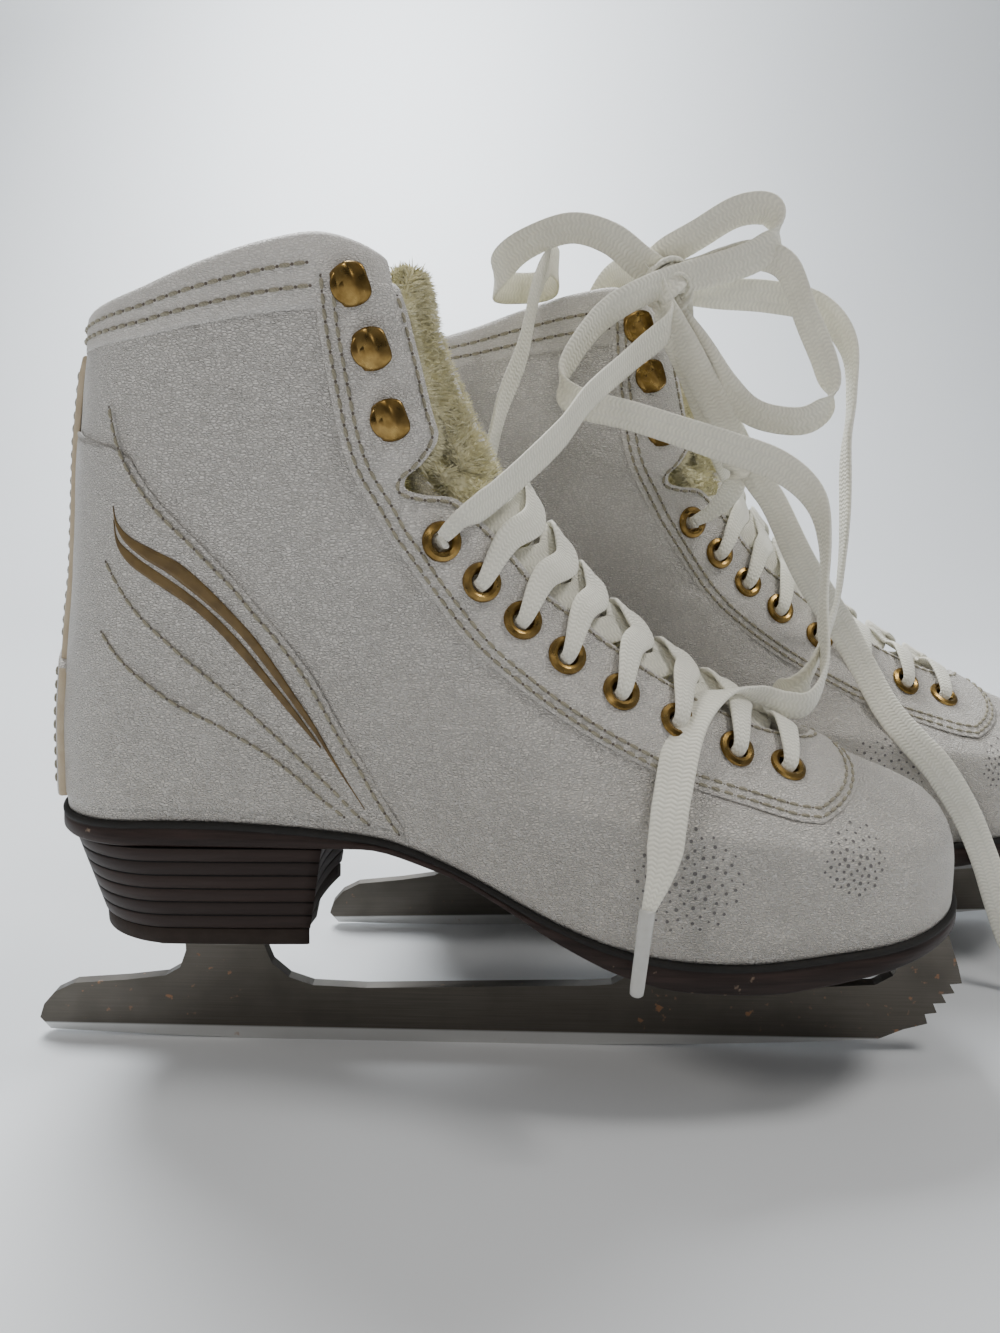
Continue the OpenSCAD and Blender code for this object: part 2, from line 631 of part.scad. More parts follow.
// Laces --------------------------------------------------------------------------------------
// Rings of a flat lace: points, the lace's across directions and its width at each point.
function flat_ring(point, way, across, wide) =
    let (a = unit(across - (across * way) * way), n = cross(way, a))
    [for (q = [[-0.5, -0.3], [-0.42, -0.5], [0.42, -0.5], [0.5, -0.3],
            [0.5, 0.3], [0.42, 0.5], [-0.42, 0.5], [-0.5, 0.3]])
        point + a * q[0] * wide + n * q[1] * lace_thickness];
function thin_ring(point, way, across, wide) =
    let (a = unit(across - (across * way) * way), n = cross(way, a))
    [for (q = [[-0.5, -0.5], [0.5, -0.5], [0.5, 0.5], [-0.5, 0.5]])
        point + a * q[0] * wide + n * q[1] * lace_thickness];
function path_way(points, i) =
    unit(points[min(i + 1, len(points) - 1)] - points[max(i - 1, 0)]);

// Held lacing: one strip from the top eyelet of one side to the top eyelet of the other.
bore_width = eyelet_bore - 1.2;
function eyelet_side(i, side) = [eyelet_spots[i][0], side * eyelet_spots[i][1]];
// Stations of one crossing: place, offset and width of the lace.
function crossing(i, side) =
    let (from = eyelet_side(i, side), to = eyelet_side(i - 1, -side))
    let (over = lace_over_spots[i], under = lace_under_spots[i - 1])
    let (middle = mix(lace_tops[i], lace_tops[i - 1], 0.5), high = side > 0 ? -1.3 : 0.5)
    [
        [from[0], from[1], -leather - 2.3, bore_width],
        [from[0], from[1], facing + 1.9, bore_width],
        [over[0], side * over[1], facing + 2.1, 0.85 * lace_width],
        [mix(over[0], middle, 0.5), side * mix(over[1], 1, 0.5), high + 0.6, lace_width],
        [middle, side, high, lace_width],
        [mix(middle, under[0], 0.5), -side * mix(1, under[1], 0.5), -2.6, lace_width],
        [under[0], -side * under[1], -leather - 1.9, 0.85 * lace_width]
    ];
function lacing_end(side) =
    let (top = eyelet_side(0, side))
    [[top[0], top[1], -leather - 2.3, bore_width], [top[0], top[1], facing + 1.9, bore_width]];
function mouth(side) = [eyelet_spots[7][0] + 0.012, side * mix(eyelet_spots[7][1], 1, 0.5),
    -leather - 1.6, 0.85 * lace_width];
function backwards(list) = [for (i = [len(list) - 1:-1:0]) list[i]];
function single_lacing(side) =
    let (runs = [for (k = [7:-1:1]) crossing(k, (7 - k) % 2 == 0 ? side : -side)])
    concat([for (run = runs) each run], lacing_end(-side));
lacing_stations = concat(backwards(single_lacing(1)), [mouth(1), [mouth(1)[0], 1,
    -leather - 0.2, lace_width], mouth(-1)], single_lacing(-1));
module lacing() {
    points = [for (q = lacing_stations) skin(q[0], q[1], q[2])];
    across = [for (q = lacing_stations)
        spot(min(q[0] + 0.01, 1), q[1]) - spot(q[0] - 0.01, q[1])];
    color("#e9e6da") tube([for (i = [0:len(points) - 1])
        thin_ring(points[i], path_way(points, i), across[i], lacing_stations[i][3])]);
}

// Free lace ends -------------------------------------------------------------------------------
// Routes from the top eyelets through the knot to the end tips, in the pair's own axes.
right_outer_route = [
    [-51, -76, 153], [-46, -76, 158], [-38, -66, 163], [-21, -46, 178], [-12, -33, 189],
    [3, -13, 202], [14, -5, 212], [11, 2, 221], [9, 4, 228], [13, 3, 233], [22, -1, 238],
    [33, -4, 244], [42, -6, 244], [44, -7, 237], [38, -6, 231], [25, -4, 227],
    [13, -4, 224], [2, -8, 219], [-7, -10, 213], [-15, -15, 203], [-19, -18, 194],
    [-14, -20, 188], [2, -22, 184], [28, -22, 176], [45, -22, 170], [55, -24, 161],
    [58, -27, 148], [57, -32, 130], [56, -40, 113], [50, -47, 105], [42, -48, 105],
    [33, -50, 108], [22, -58, 110], [12, -71, 104], [6, -86, 89], [3, -94, 75],
    [-1, -98, 64]
];
right_inner_route = [
    [-49, -13, 152], [-44, -11, 159], [-40, -12, 172], [-36, -9, 188], [-30, -5, 204],
    [-26, -1, 222], [-22, 6, 231], [-19, 15, 231], [-22, 24, 227], [-31, 25, 226], [-38, 17, 226],
    [-36, 9, 231], [-29, 4, 236], [-16, 1, 240], [-4, 0, 237], [6, 1, 230],
    [14, 2, 226], [22, -1, 227], [30, -2, 230], [39, -3, 232], [48, -6, 228],
    [54, -8, 214], [60, -10, 200], [62, -10, 190], [56, -9, 184], [47, -6, 184],
    [39, -4, 187], [32, -3, 194], [25, -1, 204], [18, 1, 213], [12, 4, 222],
    [4, 12, 229], [-2, 24, 227], [-7, 33, 210], [-10, 37, 188], [-12, 38, 170],
    [-12, 38, 152]
];
left_inner_route = [
    [27, 13, 152], [33, 11, 156], [38, 9, 163], [38, 5, 172], [33, 1, 183],
    [25, -1, 196], [18, -2, 208], [12, -1, 217], [13, 3, 223], [20, 5, 223], [30, 5, 222],
    [46, 4, 221], [60, 0, 217], [68, -5, 206], [69, -8, 190], [68, -9, 175],
    [68, -12, 156], [67, -15, 142], [64, -21, 129], [57, -30, 116], [51, -35, 108],
    [47, -27, 101], [48, -13, 88], [49, 1, 70], [50, 4, 52]
];
left_outer_route = [
    [25, 76, 153], [32, 73, 159], [41, 62, 162], [48, 48, 164], [46, 34, 166],
    [39, 22, 169], [33, 11, 178], [27, 6, 190], [21, 2, 202], [15, -2, 212],
    [12, -2, 220], [12, -1, 226], [17, 1, 219], [20, 5, 207], [28, 6, 193],
    [36, 6, 181], [44, 5, 167], [51, 6, 158], [62, 10, 139], [72, 14, 125],
    [79, 17, 116], [87, 15, 102], [93, 8, 90], [100, 1, 81], [107, -3, 73],
    [117, -3, 58], [124, -4, 43], [129, -7, 28], [134, -11, 15], [142, -16, 7],
    [155, -20, 4], [170, -22, 4], [184, -22, 4]
];
right_outer_tip = [-3, -99, 45];
right_inner_tip = [-12, 38, 130];
left_inner_tip = [50, 4, 31];
left_outer_tip = [204, -22, 4];
knot_centre = [14, 0, 224];
lace_face = [0, -0.5, 1];

left_shift = pair_stagger - 76 * stretch_x;
function stretched(p) =
    [p[0] * stretch_x + left_shift * clamp((p[1] + 12) / 10), p[1] * pair_spacing / 92,
        p[2] * stretch_z];
module lace(route) {
    points = [for (p = route) stretched(p)];
    color("#ebe8dc") tube([for (i = [0:len(points) - 1])
        let (way = path_way(points, i))
        flat_ring(points[i], way, cross(way, lace_face), lace_width)]);
}
module end_tip(route, tip) {
    from = stretched(route[len(route) - 1]);
    aim = unit(stretched(tip) - from);
    translate(from + gap * aim)
        rotate([0, acos(aim[2]), atan2(aim[1], aim[0])])
            cylinder(h = aglet_length, d = aglet_diameter, $fn = 24);
}
module aglets() {
    color("#dedcd6") {
        end_tip(right_outer_route, right_outer_tip);
        end_tip(right_inner_route, right_inner_tip);
        end_tip(left_inner_route, left_inner_tip);
        end_tip(left_outer_route, left_outer_tip);
    }
}
// Half profile of the tied knot, from its lower end to its upper end.
knot_profile = [[0, -6.5], [3.6, -6], [5.8, -4], [6.6, -1.5], [6.1, 1], [6.8, 3.2], [5.2, 5.6],
    [2.4, 6.8], [0, 6.8]];
module bow_knot() {
    color("#e6e3d6") translate(stretched(knot_centre))
        rotate([20, 70, 0])
            rotate_extrude($fn = fine)
                polygon(knot_profile);
}

// Assembly -------------------------------------------------------------------------------------
pivot_x = 191;
pair_shift = 31;
module on_right() {
    translate([pair_shift * stretch_x, -pair_spacing / 2, 0])
        rotate([0, 0, -toe_out])
            translate([-pivot_x * stretch_x, 0, 0])
                children();
}
module on_left() {
    translate([pair_shift * stretch_x + pair_stagger, pair_spacing / 2, 0])
        rotate([0, 0, toe_out])
            translate([-pivot_x * stretch_x, 0, 0])
                mirror([0, 1, 0])
                    children();
}

on_right() upper();  // right_upper
on_right() eyestay();  // right_eyestay
on_right() collar_binding();  // right_collar_binding
on_right() heel_panel();  // right_heel_panel
on_right() backstay();  // right_backstay
on_right() backstay_patch();  // right_backstay_patch
on_right() lining();  // right_lining
on_right() heel_stiffener();  // right_heel_stiffener
on_right() toe_puff();  // right_toe_puff
on_right() tongue_base();  // right_tongue_base
on_right() fleece_base();  // right_fleece_base
on_right() tongue_flap();  // right_tongue_flap
on_right() fleece_flap();  // right_fleece_flap
on_right() insole();  // right_insole
on_right() insole_board();  // right_insole_board
on_right() shank();  // right_shank
on_right() outsole();  // right_outsole
on_right() heel_lifts();  // right_heel_lifts
on_right() top_lift();  // right_top_lift
on_right() heel_plate();  // right_heel_plate
on_right() sole_plate();  // right_sole_plate
on_right() blade();  // right_blade
on_right() plate_screws();  // right_plate_screws
on_right() eyelets();  // right_eyelets
on_right() hooks();  // right_hooks
on_right() lacing();  // right_lacing
on_left() upper();  // left_upper
on_left() eyestay();  // left_eyestay
on_left() collar_binding();  // left_collar_binding
on_left() heel_panel();  // left_heel_panel
on_left() backstay();  // left_backstay
on_left() backstay_patch();  // left_backstay_patch
on_left() lining();  // left_lining
on_left() heel_stiffener();  // left_heel_stiffener
on_left() toe_puff();  // left_toe_puff
on_left() tongue_base();  // left_tongue_base
on_left() fleece_base();  // left_fleece_base
on_left() tongue_flap();  // left_tongue_flap
on_left() fleece_flap();  // left_fleece_flap
on_left() insole();  // left_insole
on_left() insole_board();  // left_insole_board
on_left() shank();  // left_shank
on_left() outsole();  // left_outsole
on_left() heel_lifts();  // left_heel_lifts
on_left() top_lift();  // left_top_lift
on_left() heel_plate();  // left_heel_plate
on_left() sole_plate();  // left_sole_plate
on_left() blade();  // left_blade
on_left() plate_screws();  // left_plate_screws
on_left() eyelets();  // left_eyelets
on_left() hooks();  // left_hooks
on_left() lacing();  // left_lacing
lace(right_outer_route);  // right_outer_lace
lace(right_inner_route);  // right_inner_lace
lace(left_outer_route);  // left_outer_lace
lace(left_inner_route);  // left_inner_lace
aglets();
bow_knot();
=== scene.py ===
"""A pair of laced figure skates: leather boots, plush lining, stacked heels, blades, flat laces."""

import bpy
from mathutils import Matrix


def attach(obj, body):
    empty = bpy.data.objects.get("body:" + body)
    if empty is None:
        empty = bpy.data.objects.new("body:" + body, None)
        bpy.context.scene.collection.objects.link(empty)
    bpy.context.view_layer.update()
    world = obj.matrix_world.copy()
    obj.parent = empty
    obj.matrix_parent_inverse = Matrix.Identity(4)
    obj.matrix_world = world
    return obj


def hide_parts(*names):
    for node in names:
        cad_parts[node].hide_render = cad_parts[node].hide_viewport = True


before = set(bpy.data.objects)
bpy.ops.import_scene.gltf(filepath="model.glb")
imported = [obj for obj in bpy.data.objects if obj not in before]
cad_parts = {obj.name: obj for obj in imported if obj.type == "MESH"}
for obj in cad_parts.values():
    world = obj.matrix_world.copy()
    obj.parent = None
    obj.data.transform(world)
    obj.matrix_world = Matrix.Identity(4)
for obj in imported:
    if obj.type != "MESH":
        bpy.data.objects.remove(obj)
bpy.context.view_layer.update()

import math

import bpy
import bmesh
import numpy as np
from bpy.props import FloatVectorProperty, PointerProperty
from mathutils import Matrix, Vector

bl_info = {
    "name": "Laced Ice Skates",
    "version": (1, 0, 0),
    "blender": (4, 5, 0),
    "location": "View3D > Sidebar > Skates",
    "description": "Builds a pair of laced figure skates over their measured frame",
    "category": "Add Mesh",
}

MM = 0.001
FEET = ("right", "left")
ROOT = "skates"

# The boot's outlines, in millimetres from the back of the heel and from the ice ---------------
BACK_LINE = [[44, 2], [76, 0], [101, 1], [130, 5], [141, 7], [176, 10], [206, 15], [224, 18]]
RIDGE_LINE = [
    [44, 253.6], [60, 253.4], [66, 253], [72, 251.5], [76, 249.5], [80, 245], [84, 238],
    [88, 229], [92, 219], [96, 210.5], [103, 198], [112, 183], [122, 168], [135, 152.5],
    [150, 140], [163, 131], [180, 123], [195, 118], [210, 114.5], [224, 112]]
SEAT_LINE = [
    [0, 76], [31, 77], [49, 77], [67, 76], [78, 75], [92, 73.5], [99, 71.5], [113, 66],
    [125, 60.5], [139, 54], [153, 49], [168, 46], [185, 45], [196, 45.5], [210, 47],
    [224, 48.5], [254, 51]]
COLLAR_LINE = [
    [15, 206], [38, 210], [52, 214], [65, 217.5], [75, 219.5], [81, 220.5], [88, 219.5],
    [96, 216.5], [100, 213], [114, 209]]
SOLE_LINE = [
    [0, 70], [92, 70], [104, 66], [113, 63], [125, 57], [139, 49], [154, 42], [168, 38],
    [185, 37], [197, 37], [211, 39], [224, 41.5], [240, 44], [260, 46.5]]
SHAFT_HALF = [[76, 29], [100, 29.5], [125, 32], [150, 34], [175, 34.5], [206, 37], [222, 38.5]]
FOOT_HALF = [
    [0, 28], [40, 29], [80, 29], [110, 32], [135, 37], [165, 42.5], [190, 43.5],
    [210, 42], [230, 40], [254, 38]]
BACK_ROUND = [[76, 27], [120, 30], [206, 42]]
RIDGE_ROUND = [[50, 34], [70, 38], [85, 46], [100, 52], [150, 50], [180, 46], [222, 46]]
RIDGE_POWER = [[50, 0.5], [76, 0.5], [92, 0.7], [150, 0.7], [175, 0.5], [222, 0.5]]
RIDGE_RISE = [
    [0, 50.8], [0.06, 60], [0.12, 70], [0.18, 78], [0.25, 84], [0.32, 90], [0.4, 97],
    [0.5, 108], [0.6, 122], [0.7, 142], [0.8, 165], [0.9, 188], [1, 211], [1.1, 234]]
CENTRE_LINE = [[0, 0], [100, 0], [150, -1], [254, 5]]
FACING_EDGES = np.array([
    [[99, 213.5], [80, 219.5]], [[101.5, 206], [80.5, 209]], [[103.5, 198], [81.5, 199]],
    [[105.5, 190], [83, 189]], [[107.5, 182], [84.5, 180]], [[108.5, 177], [86, 173.5]],
    [[105, 171], [88, 168]], [[101, 167.5], [90, 164]], [[101, 164.5], [92, 160.5]],
    [[106, 163], [94.5, 156]], [[113, 162], [97, 151.5]], [[120, 155.5], [101, 146]],
    [[127, 148], [106.5, 138]], [[137, 137], [114, 128]], [[149, 127.5], [124, 118.5]],
    [[162, 118], [137, 109]], [[177, 109], [153, 99.5]], [[190, 102.5], [170, 91]],
    [[200, 98.5], [187, 85.5]], [[206, 96.8], [204, 81]], [[209, 96.2], [214, 82]]])
FACING_FRONT = (96, 91.2)
EYELETS = np.array([
    [109, 151.5], [119, 141], [129.5, 131], [141, 122], [155, 112.5], [170, 104.5],
    [186, 96.5], [200.5, 91]])
HOOKS = np.array([[88, 212], [92.3, 197.5], [96.5, 181]])
LACE_OVER = np.array([
    [114, 161], [124, 151], [133.5, 140.5], [144, 131.5], [157, 121.5], [171.5, 112.5],
    [187, 104], [201, 98]])
LACE_UNDER = np.array([
    [119, 156.5], [128.5, 146], [138, 136], [148.5, 128], [161.5, 118.5], [175.5, 110],
    [191, 102], [205, 97]])
LACE_TOPS = [0.82, 0.766, 0.72, 0.672, 0.62, 0.56, 0.495, 0.425]
LEATHER, FACING, FLEECE = 2.2, 1.2, 4.0
LINING_OUT = -3.5
LINING_IN = LINING_OUT - FLEECE
TONGUE_LEATHER, TONGUE_FLEECE = 1.8, 4.5
TONGUE_MID, TONGUE_SIDE = -4.5, -5.9
FLAP_START, FLAP_END, FLAP_SHARE = 0.815, 1.04, 0.2
FLAP_LEAN, FLAP_CORNER = -5.0, 0.4
SHAFT_LOW, SHAFT_HIGH = 76, 130
UPPER_CUT = 0.74
HEEL_LOW, HEEL_TOP, TOP_LIFT, LIFTS = 41, 70, 5, 6
LACE_WIDTH, LACE_THICK = 8.4, 1.6
FREE_WIDTH = 1.2 * LACE_WIDTH
TONGUE_HAIRS, LINING_HAIRS, RIM_HAIRS = 17000, 15000, 16000
AGLET_LENGTH = 21
EYELET_BORE = 5.2

# Free lace ends: routes from the top eyelets through the knot to the tips ---------------------
ROUTES = {
    "right_outer_lace": [
        [-51, -76, 153], [-46, -76, 158], [-38, -66, 163], [-21, -46, 178], [-12, -33, 189],
        [3, -13, 202], [14, -5, 212], [11, 2, 221], [9, 4, 228], [13, 3, 233], [22, -1, 238],
        [33, -4, 244], [42, -6, 244], [44, -7, 237], [38, -6, 231], [25, -4, 227],
        [13, -4, 224], [2, -8, 219], [-7, -10, 213], [-15, -15, 203], [-19, -18, 194],
        [-14, -20, 188], [2, -22, 184], [28, -22, 176], [45, -22, 170], [55, -24, 161],
        [58, -27, 148], [57, -32, 130], [56, -40, 113], [50, -47, 105], [42, -48, 105],
        [33, -50, 108], [22, -58, 110], [12, -71, 104], [6, -86, 89], [3, -94, 75],
        [-1, -98, 64], [-3, -99, 45]],
    "right_inner_lace": [
        [-49, -13, 152], [-44, -11, 159], [-40, -12, 172], [-36, -9, 188], [-30, -5, 204],
        [-26, -1, 222], [-22, 6, 231], [-19, 15, 231], [-22, 24, 227], [-31, 25, 226], [-38, 17, 226],
        [-36, 9, 231], [-29, 4, 236], [-16, 1, 240], [-4, 0, 237], [6, 1, 230],
        [14, 2, 226], [22, -1, 227], [30, -2, 230], [39, -3, 232], [48, -6, 228],
        [54, -8, 214], [60, -10, 200], [62, -10, 190], [56, -9, 184], [47, -6, 184],
        [39, -4, 187], [32, -3, 194], [25, -1, 204], [18, 1, 213], [12, 4, 222],
        [4, 12, 229], [-2, 24, 227], [-7, 33, 210], [-10, 37, 188], [-12, 38, 170],
        [-12, 38, 152], [-12, 38, 130]],
    "left_inner_lace": [
        [27, 13, 152], [33, 11, 156], [38, 9, 163], [38, 5, 172], [33, 1, 183],
        [25, -1, 196], [18, -2, 208], [12, -1, 217], [13, 3, 223], [20, 5, 223], [30, 5, 222],
        [46, 4, 221], [60, 0, 217], [68, -5, 206], [69, -8, 190], [68, -9, 175],
        [68, -12, 156], [67, -15, 142], [64, -21, 129], [57, -30, 116], [51, -35, 108],
        [47, -27, 101], [48, -13, 88], [49, 1, 70], [50, 4, 52], [50, 4, 31]],
    "left_outer_lace": [
        [25, 76, 153], [32, 73, 159], [41, 62, 162], [48, 48, 164], [46, 34, 166],
        [39, 22, 169], [33, 11, 178], [27, 6, 190], [21, 2, 202], [15, -2, 212],
        [12, -2, 220], [12, -1, 226], [17, 1, 219], [20, 5, 207], [28, 6, 193],
        [36, 6, 181], [44, 5, 167], [51, 6, 158], [62, 10, 139], [72, 14, 125],
        [79, 17, 116], [87, 15, 102], [93, 8, 90], [100, 1, 81], [107, -3, 73],
        [117, -3, 58], [124, -4, 43], [129, -7, 28], [134, -11, 15], [142, -16, 7],
        [155, -20, 4], [170, -22, 4], [184, -22, 4], [204, -22, 4]],
}
LACE_FACE = np.array([0, -0.5, 1])
LACE_TURNS = {"right_outer_lace": (29, np.array([1, -0.1, 0.1])),
              "left_outer_lace": (17, np.array([0.9, -0.1, 0.45]))}
HOOK_CAP = 5.1
GOLDEN_ANGLE = math.pi * (3 - math.sqrt(5))
OUTLINE_POINTS = 220
# Each boot's side, its turn in degrees, and where the middle of its length stands
PLACES = {"right": (1, -2, (31, -46)), "left": (-1, 2, (107, 46))}
BOOT_MIDDLE = 191
STITCH_PITCH, STITCH_LENGTH, STITCH_RADIUS = 3.4, 2.9, 0.52
# Radius and lift of the flat dark discs painted as the shade inside the needle holes
HOLE_SHADE_RADIUS, HOLE_SHADE_LIFT = 0.42, 0.07
KNOT_CENTRE = np.array([14.0, 0.0, 224.0])
# Each band of the knot: its turns, its two half sizes and its width
KNOT_BANDS = (((0.2, 0.3, 0.1), (6.4, 7.2), 8.4), ((1.2, 0.2, 0.9), (6.0, 5.2), 7.6),
              ((0.5, 1.3, 0.3), (4.8, 6.0), 7.8))
HOOK_FOOT = ((1.0, 0.01), (1.0, 4.6), (1.5, 4.7), (2.0, 4.3), (2.1, 3.0), (3.6, 2.2), (3.6, 0.01))

# Stitched lines and marks of the side view -----------------------------------------------------
HEEL_SEAMS = [
    [[28, 184], [29, 178.5], [30.5, 173.5], [33.5, 167.5], [38.5, 160.5], [43, 155.5], [47.5, 151],
     [53, 145], [58, 139.5], [62.5, 133.5], [67, 128], [72, 121], [76, 114.5], [79.5, 107.5], [83, 100.5],
     [87.5, 93], [91.5, 85.5], [96, 78], [98, 75]],
    [[25, 146], [27.5, 141.5], [31, 136], [35, 131], [39.5, 126.5], [44.5, 121.5], [49.5, 117], [54.5, 112.5],
     [59, 108.5], [64, 103.5], [69, 98.5], [75, 92.5], [81, 86.5], [86, 81], [90, 77.5]],
    [[22.5, 128], [26, 123], [30, 118.5], [34.5, 114.5], [39.5, 110.5], [44.5, 107.5], [50.5, 104.5],
     [55.5, 101.5], [60.5, 98.5], [65.5, 95], [71.5, 90], [77.5, 84.5], [83.5, 79.5]]]
STRIPES = [
    ([[28, 160], [29, 156], [32.5, 152.5], [38.5, 149.5], [45, 146], [51, 140.5], [56.5, 134.5], [62, 128],
      [67, 120.5], [71.5, 113], [76.5, 104.5], [81, 95.7], [85, 88.7], [89, 82]],
     [[27.9, 159.8], [28.6, 155.2], [31, 151.2], [35.8, 147.3], [41.5, 143.8], [47.5, 139], [52.5, 134.6],
      [57.5, 129.6], [62, 124], [67, 116.7], [72, 109], [76.7, 101.8], [81.5, 93.6], [89, 81.6]]),
    ([[28, 156.5], [29, 151.8], [33, 148.2], [38, 144.8], [44.5, 140.2], [50, 135.6], [55.5, 130], [60.5, 124],
      [65, 117.7], [70, 110.8], [74, 104.8], [78, 98.6]],
     [[27.9, 156.3], [28.6, 150.5], [31.6, 146], [37.4, 141.8], [43.5, 137.6], [48.4, 133.8], [53.6, 128.6],
      [59, 122.2], [63.6, 116.4], [68.6, 109.8], [73.2, 103.9], [77.8, 98.2]])]
ROSETTES = [(172, 68, 14, 90), (215, 72, 8.5, 60)]


def table(line):
    line = np.array(line, float)
    return lambda x: np.interp(x, line[:, 0], line[:, 1])


def soften(line, reach):
    look = table(line)
    return lambda x: (look(x - reach) + 2 * look(x) + look(x + reach)) / 4


back_x, ridge_x = soften(BACK_LINE, 5), soften(RIDGE_LINE, 3)
seat_z, collar_z, sole_z = soften(SEAT_LINE, 6), soften(COLLAR_LINE, 3), soften(SOLE_LINE, 4)
shaft_half, foot_half = soften(SHAFT_HALF, 8), soften(FOOT_HALF, 8)
ridge_power, back_round, ridge_round = soften(RIDGE_POWER, 6), table(BACK_ROUND), table(RIDGE_ROUND)
front_rise, centre_y = table(RIDGE_RISE), table(CENTRE_LINE)


def mix(a, b, t):
    return a + (b - a) * t


def unit(v):
    return v / np.maximum(np.linalg.norm(v, axis=-1, keepdims=True), 1e-9)


def round_angles(sides):
    return np.linspace(0, 2 * np.pi, sides + 1)[:-1]


def ease(t):
    t = np.clip(t, 0, 1)
    return t * t * (3 - 2 * t)


def back_rise(rise):
    return SHAFT_LOW + SHAFT_HIGH * rise


def half_at(x, z):
    """Half width: the plain half width times a round-off near the front ridge and the back."""
    slope = (ridge_x(z + 4) - ridge_x(z - 4)) / 8
    ahead = (ridge_x(z) - x) / np.sqrt(1 + slope ** 2)
    foot = ease((x - 70) / 70) * (1 - ease((z - 105) / 60))
    full = mix(shaft_half(z), foot_half(x), foot) - 1.5 * np.clip(1 - (z - seat_z(x)) / 8, 0, 1) ** 2
    front = (1 - (1 - np.clip(ahead / ridge_round(z), 0, 1)) ** 2) ** ridge_power(z)
    rear = (1 - (1 - np.clip((x - back_x(z)) / back_round(z), 0, 1)) ** 2) ** 0.5
    return full * front * rear


def slice_x(rise, share):
    return mix(back_x(back_rise(rise)), ridge_x(front_rise(rise)), share)


def slice_z(rise, share):
    """Height of a slice: straight from back to ridge, sagging to the seat and to the collar."""
    low, high = 0 * rise, 0 * rise + 1
    x0, x1 = slice_x(low, share), slice_x(high, share)
    seat = seat_z(x0) - mix(seat_z(slice_x(low, 0)), seat_z(slice_x(low, 1)), share)
    top = collar_z(x1) - mix(collar_z(slice_x(high, 0)), collar_z(slice_x(high, 1)), share)
    return mix(back_rise(rise), front_rise(rise), share) + seat * (1 - rise) ** 3 + top * rise ** 4


def spot(rise, turn):
    """Point of the boot's face: rise goes from sole to collar, turn from the back (0) to the ridge (1)."""
    rise, turn = np.broadcast_arrays(np.asarray(rise, float), np.asarray(turn, float))
    turn = np.where(turn > 1, turn - 2, np.where(turn < -1, turn + 2, turn))
    share = (1 - np.cos(np.pi * np.abs(turn))) / 2
    x, z = slice_x(rise, share), slice_z(rise, share)
    return np.stack([x, np.sign(turn) * half_at(x, z) + centre_y(x), z], -1)


def outward(rise, turn):
    up = spot(np.minimum(rise + 0.004, 1.08), turn) - spot(np.maximum(rise - 0.004, 0), turn)
    n = np.cross(up, spot(rise, turn + 0.004) - spot(rise, turn - 0.004))
    return unit(n)


def skin(rise, turn, lift):
    rise, turn, lift = np.broadcast_arrays(*(np.asarray(v, float) for v in (rise, turn, lift)))
    return spot(rise, turn) + outward(rise, turn) * lift[..., None]


def place_at(x, z):
    """Rise and turn of a point of the side view, by halving the rise until the slice meets it."""
    x, z = np.asarray(x, float), np.asarray(z, float)
    low, high = np.zeros_like(x), np.full_like(x, 1.05)
    for _ in range(18):
        middle = (low + high) / 2
        share = np.clip((x - slice_x(middle, 0)) / (slice_x(middle, 1) - slice_x(middle, 0)), 0, 1)
        under = slice_z(middle, share) < z
        low, high = np.where(under, middle, low), np.where(under, high, middle)
    share = np.clip((x - slice_x(low, 0)) / (slice_x(low, 1) - slice_x(low, 0)), 0, 1)
    return np.stack([low, np.arccos(1 - 2 * share) / np.pi], -1)


def smooth_line(points, steps):
    """Catmull-Rom curve through the points, with that many steps between two of them."""
    p = np.asarray(points, float)
    p = np.vstack([2 * p[0] - p[1], p, 2 * p[-1] - p[-2]])
    t = (np.arange(steps) / steps)[None, :, None]
    a, b, c, d = (p[i:len(p) - 3 + i][:, None] for i in range(4))
    q = 0.5 * (2 * b + (c - a) * t + (2 * a - 5 * b + 4 * c - d) * t ** 2
               + (3 * b - a - 3 * c + d) * t ** 3)
    return np.vstack([q.reshape(-1, p.shape[1]), p[-2:-1]])


def along(points):
    return np.concatenate([[0], np.cumsum(np.linalg.norm(np.diff(points, axis=0), axis=1))])


def facing_point(index, share):
    """Rise and turn of the facing's path point at a share of the way to its stitched edge."""
    p = mix(FACING_EDGES[index, 0], FACING_EDGES[index, 1], share)
    return place_at(p[..., 0], p[..., 1])


def facing_path(share):
    """One side's top, round the throat, to the other side's top, as a smooth line of rise and turn."""
    side = facing_point(np.arange(len(FACING_EDGES)), share)
    z = mix(*FACING_FRONT, share)
    front = np.array([[place_at(ridge_x(z), z)[0], 0.0]])
    outer = np.column_stack([side[:, 0], side[:, 1] - 1])
    inner = np.column_stack([side[::-1, 0], 1 - side[::-1, 1]])
    return smooth_line(np.vstack([outer, front, inner]), 6)


def from_path(path):
    """Turns measured from the ridge into turns measured from the back."""
    turn = np.where(path[..., 1] < 0, -(1 + path[..., 1]), 1 - path[..., 1])
    return np.stack([path[..., 0], turn], -1)


def wander(p, size, seed):
    """Slow random-looking wave of three directions, between about -1 and 1."""
    total = 0
    for k in range(5):
        way = np.array([math.sin(seed + 2.1 * k), math.cos(1.7 * seed + 3.3 * k), math.sin(2.9 * k + 1)])
        total = total + np.sin(p @ way * (2 * np.pi / size) * (0.7 + 0.25 * k) + seed * 1.3 + k * 2.2)
    return total / 3


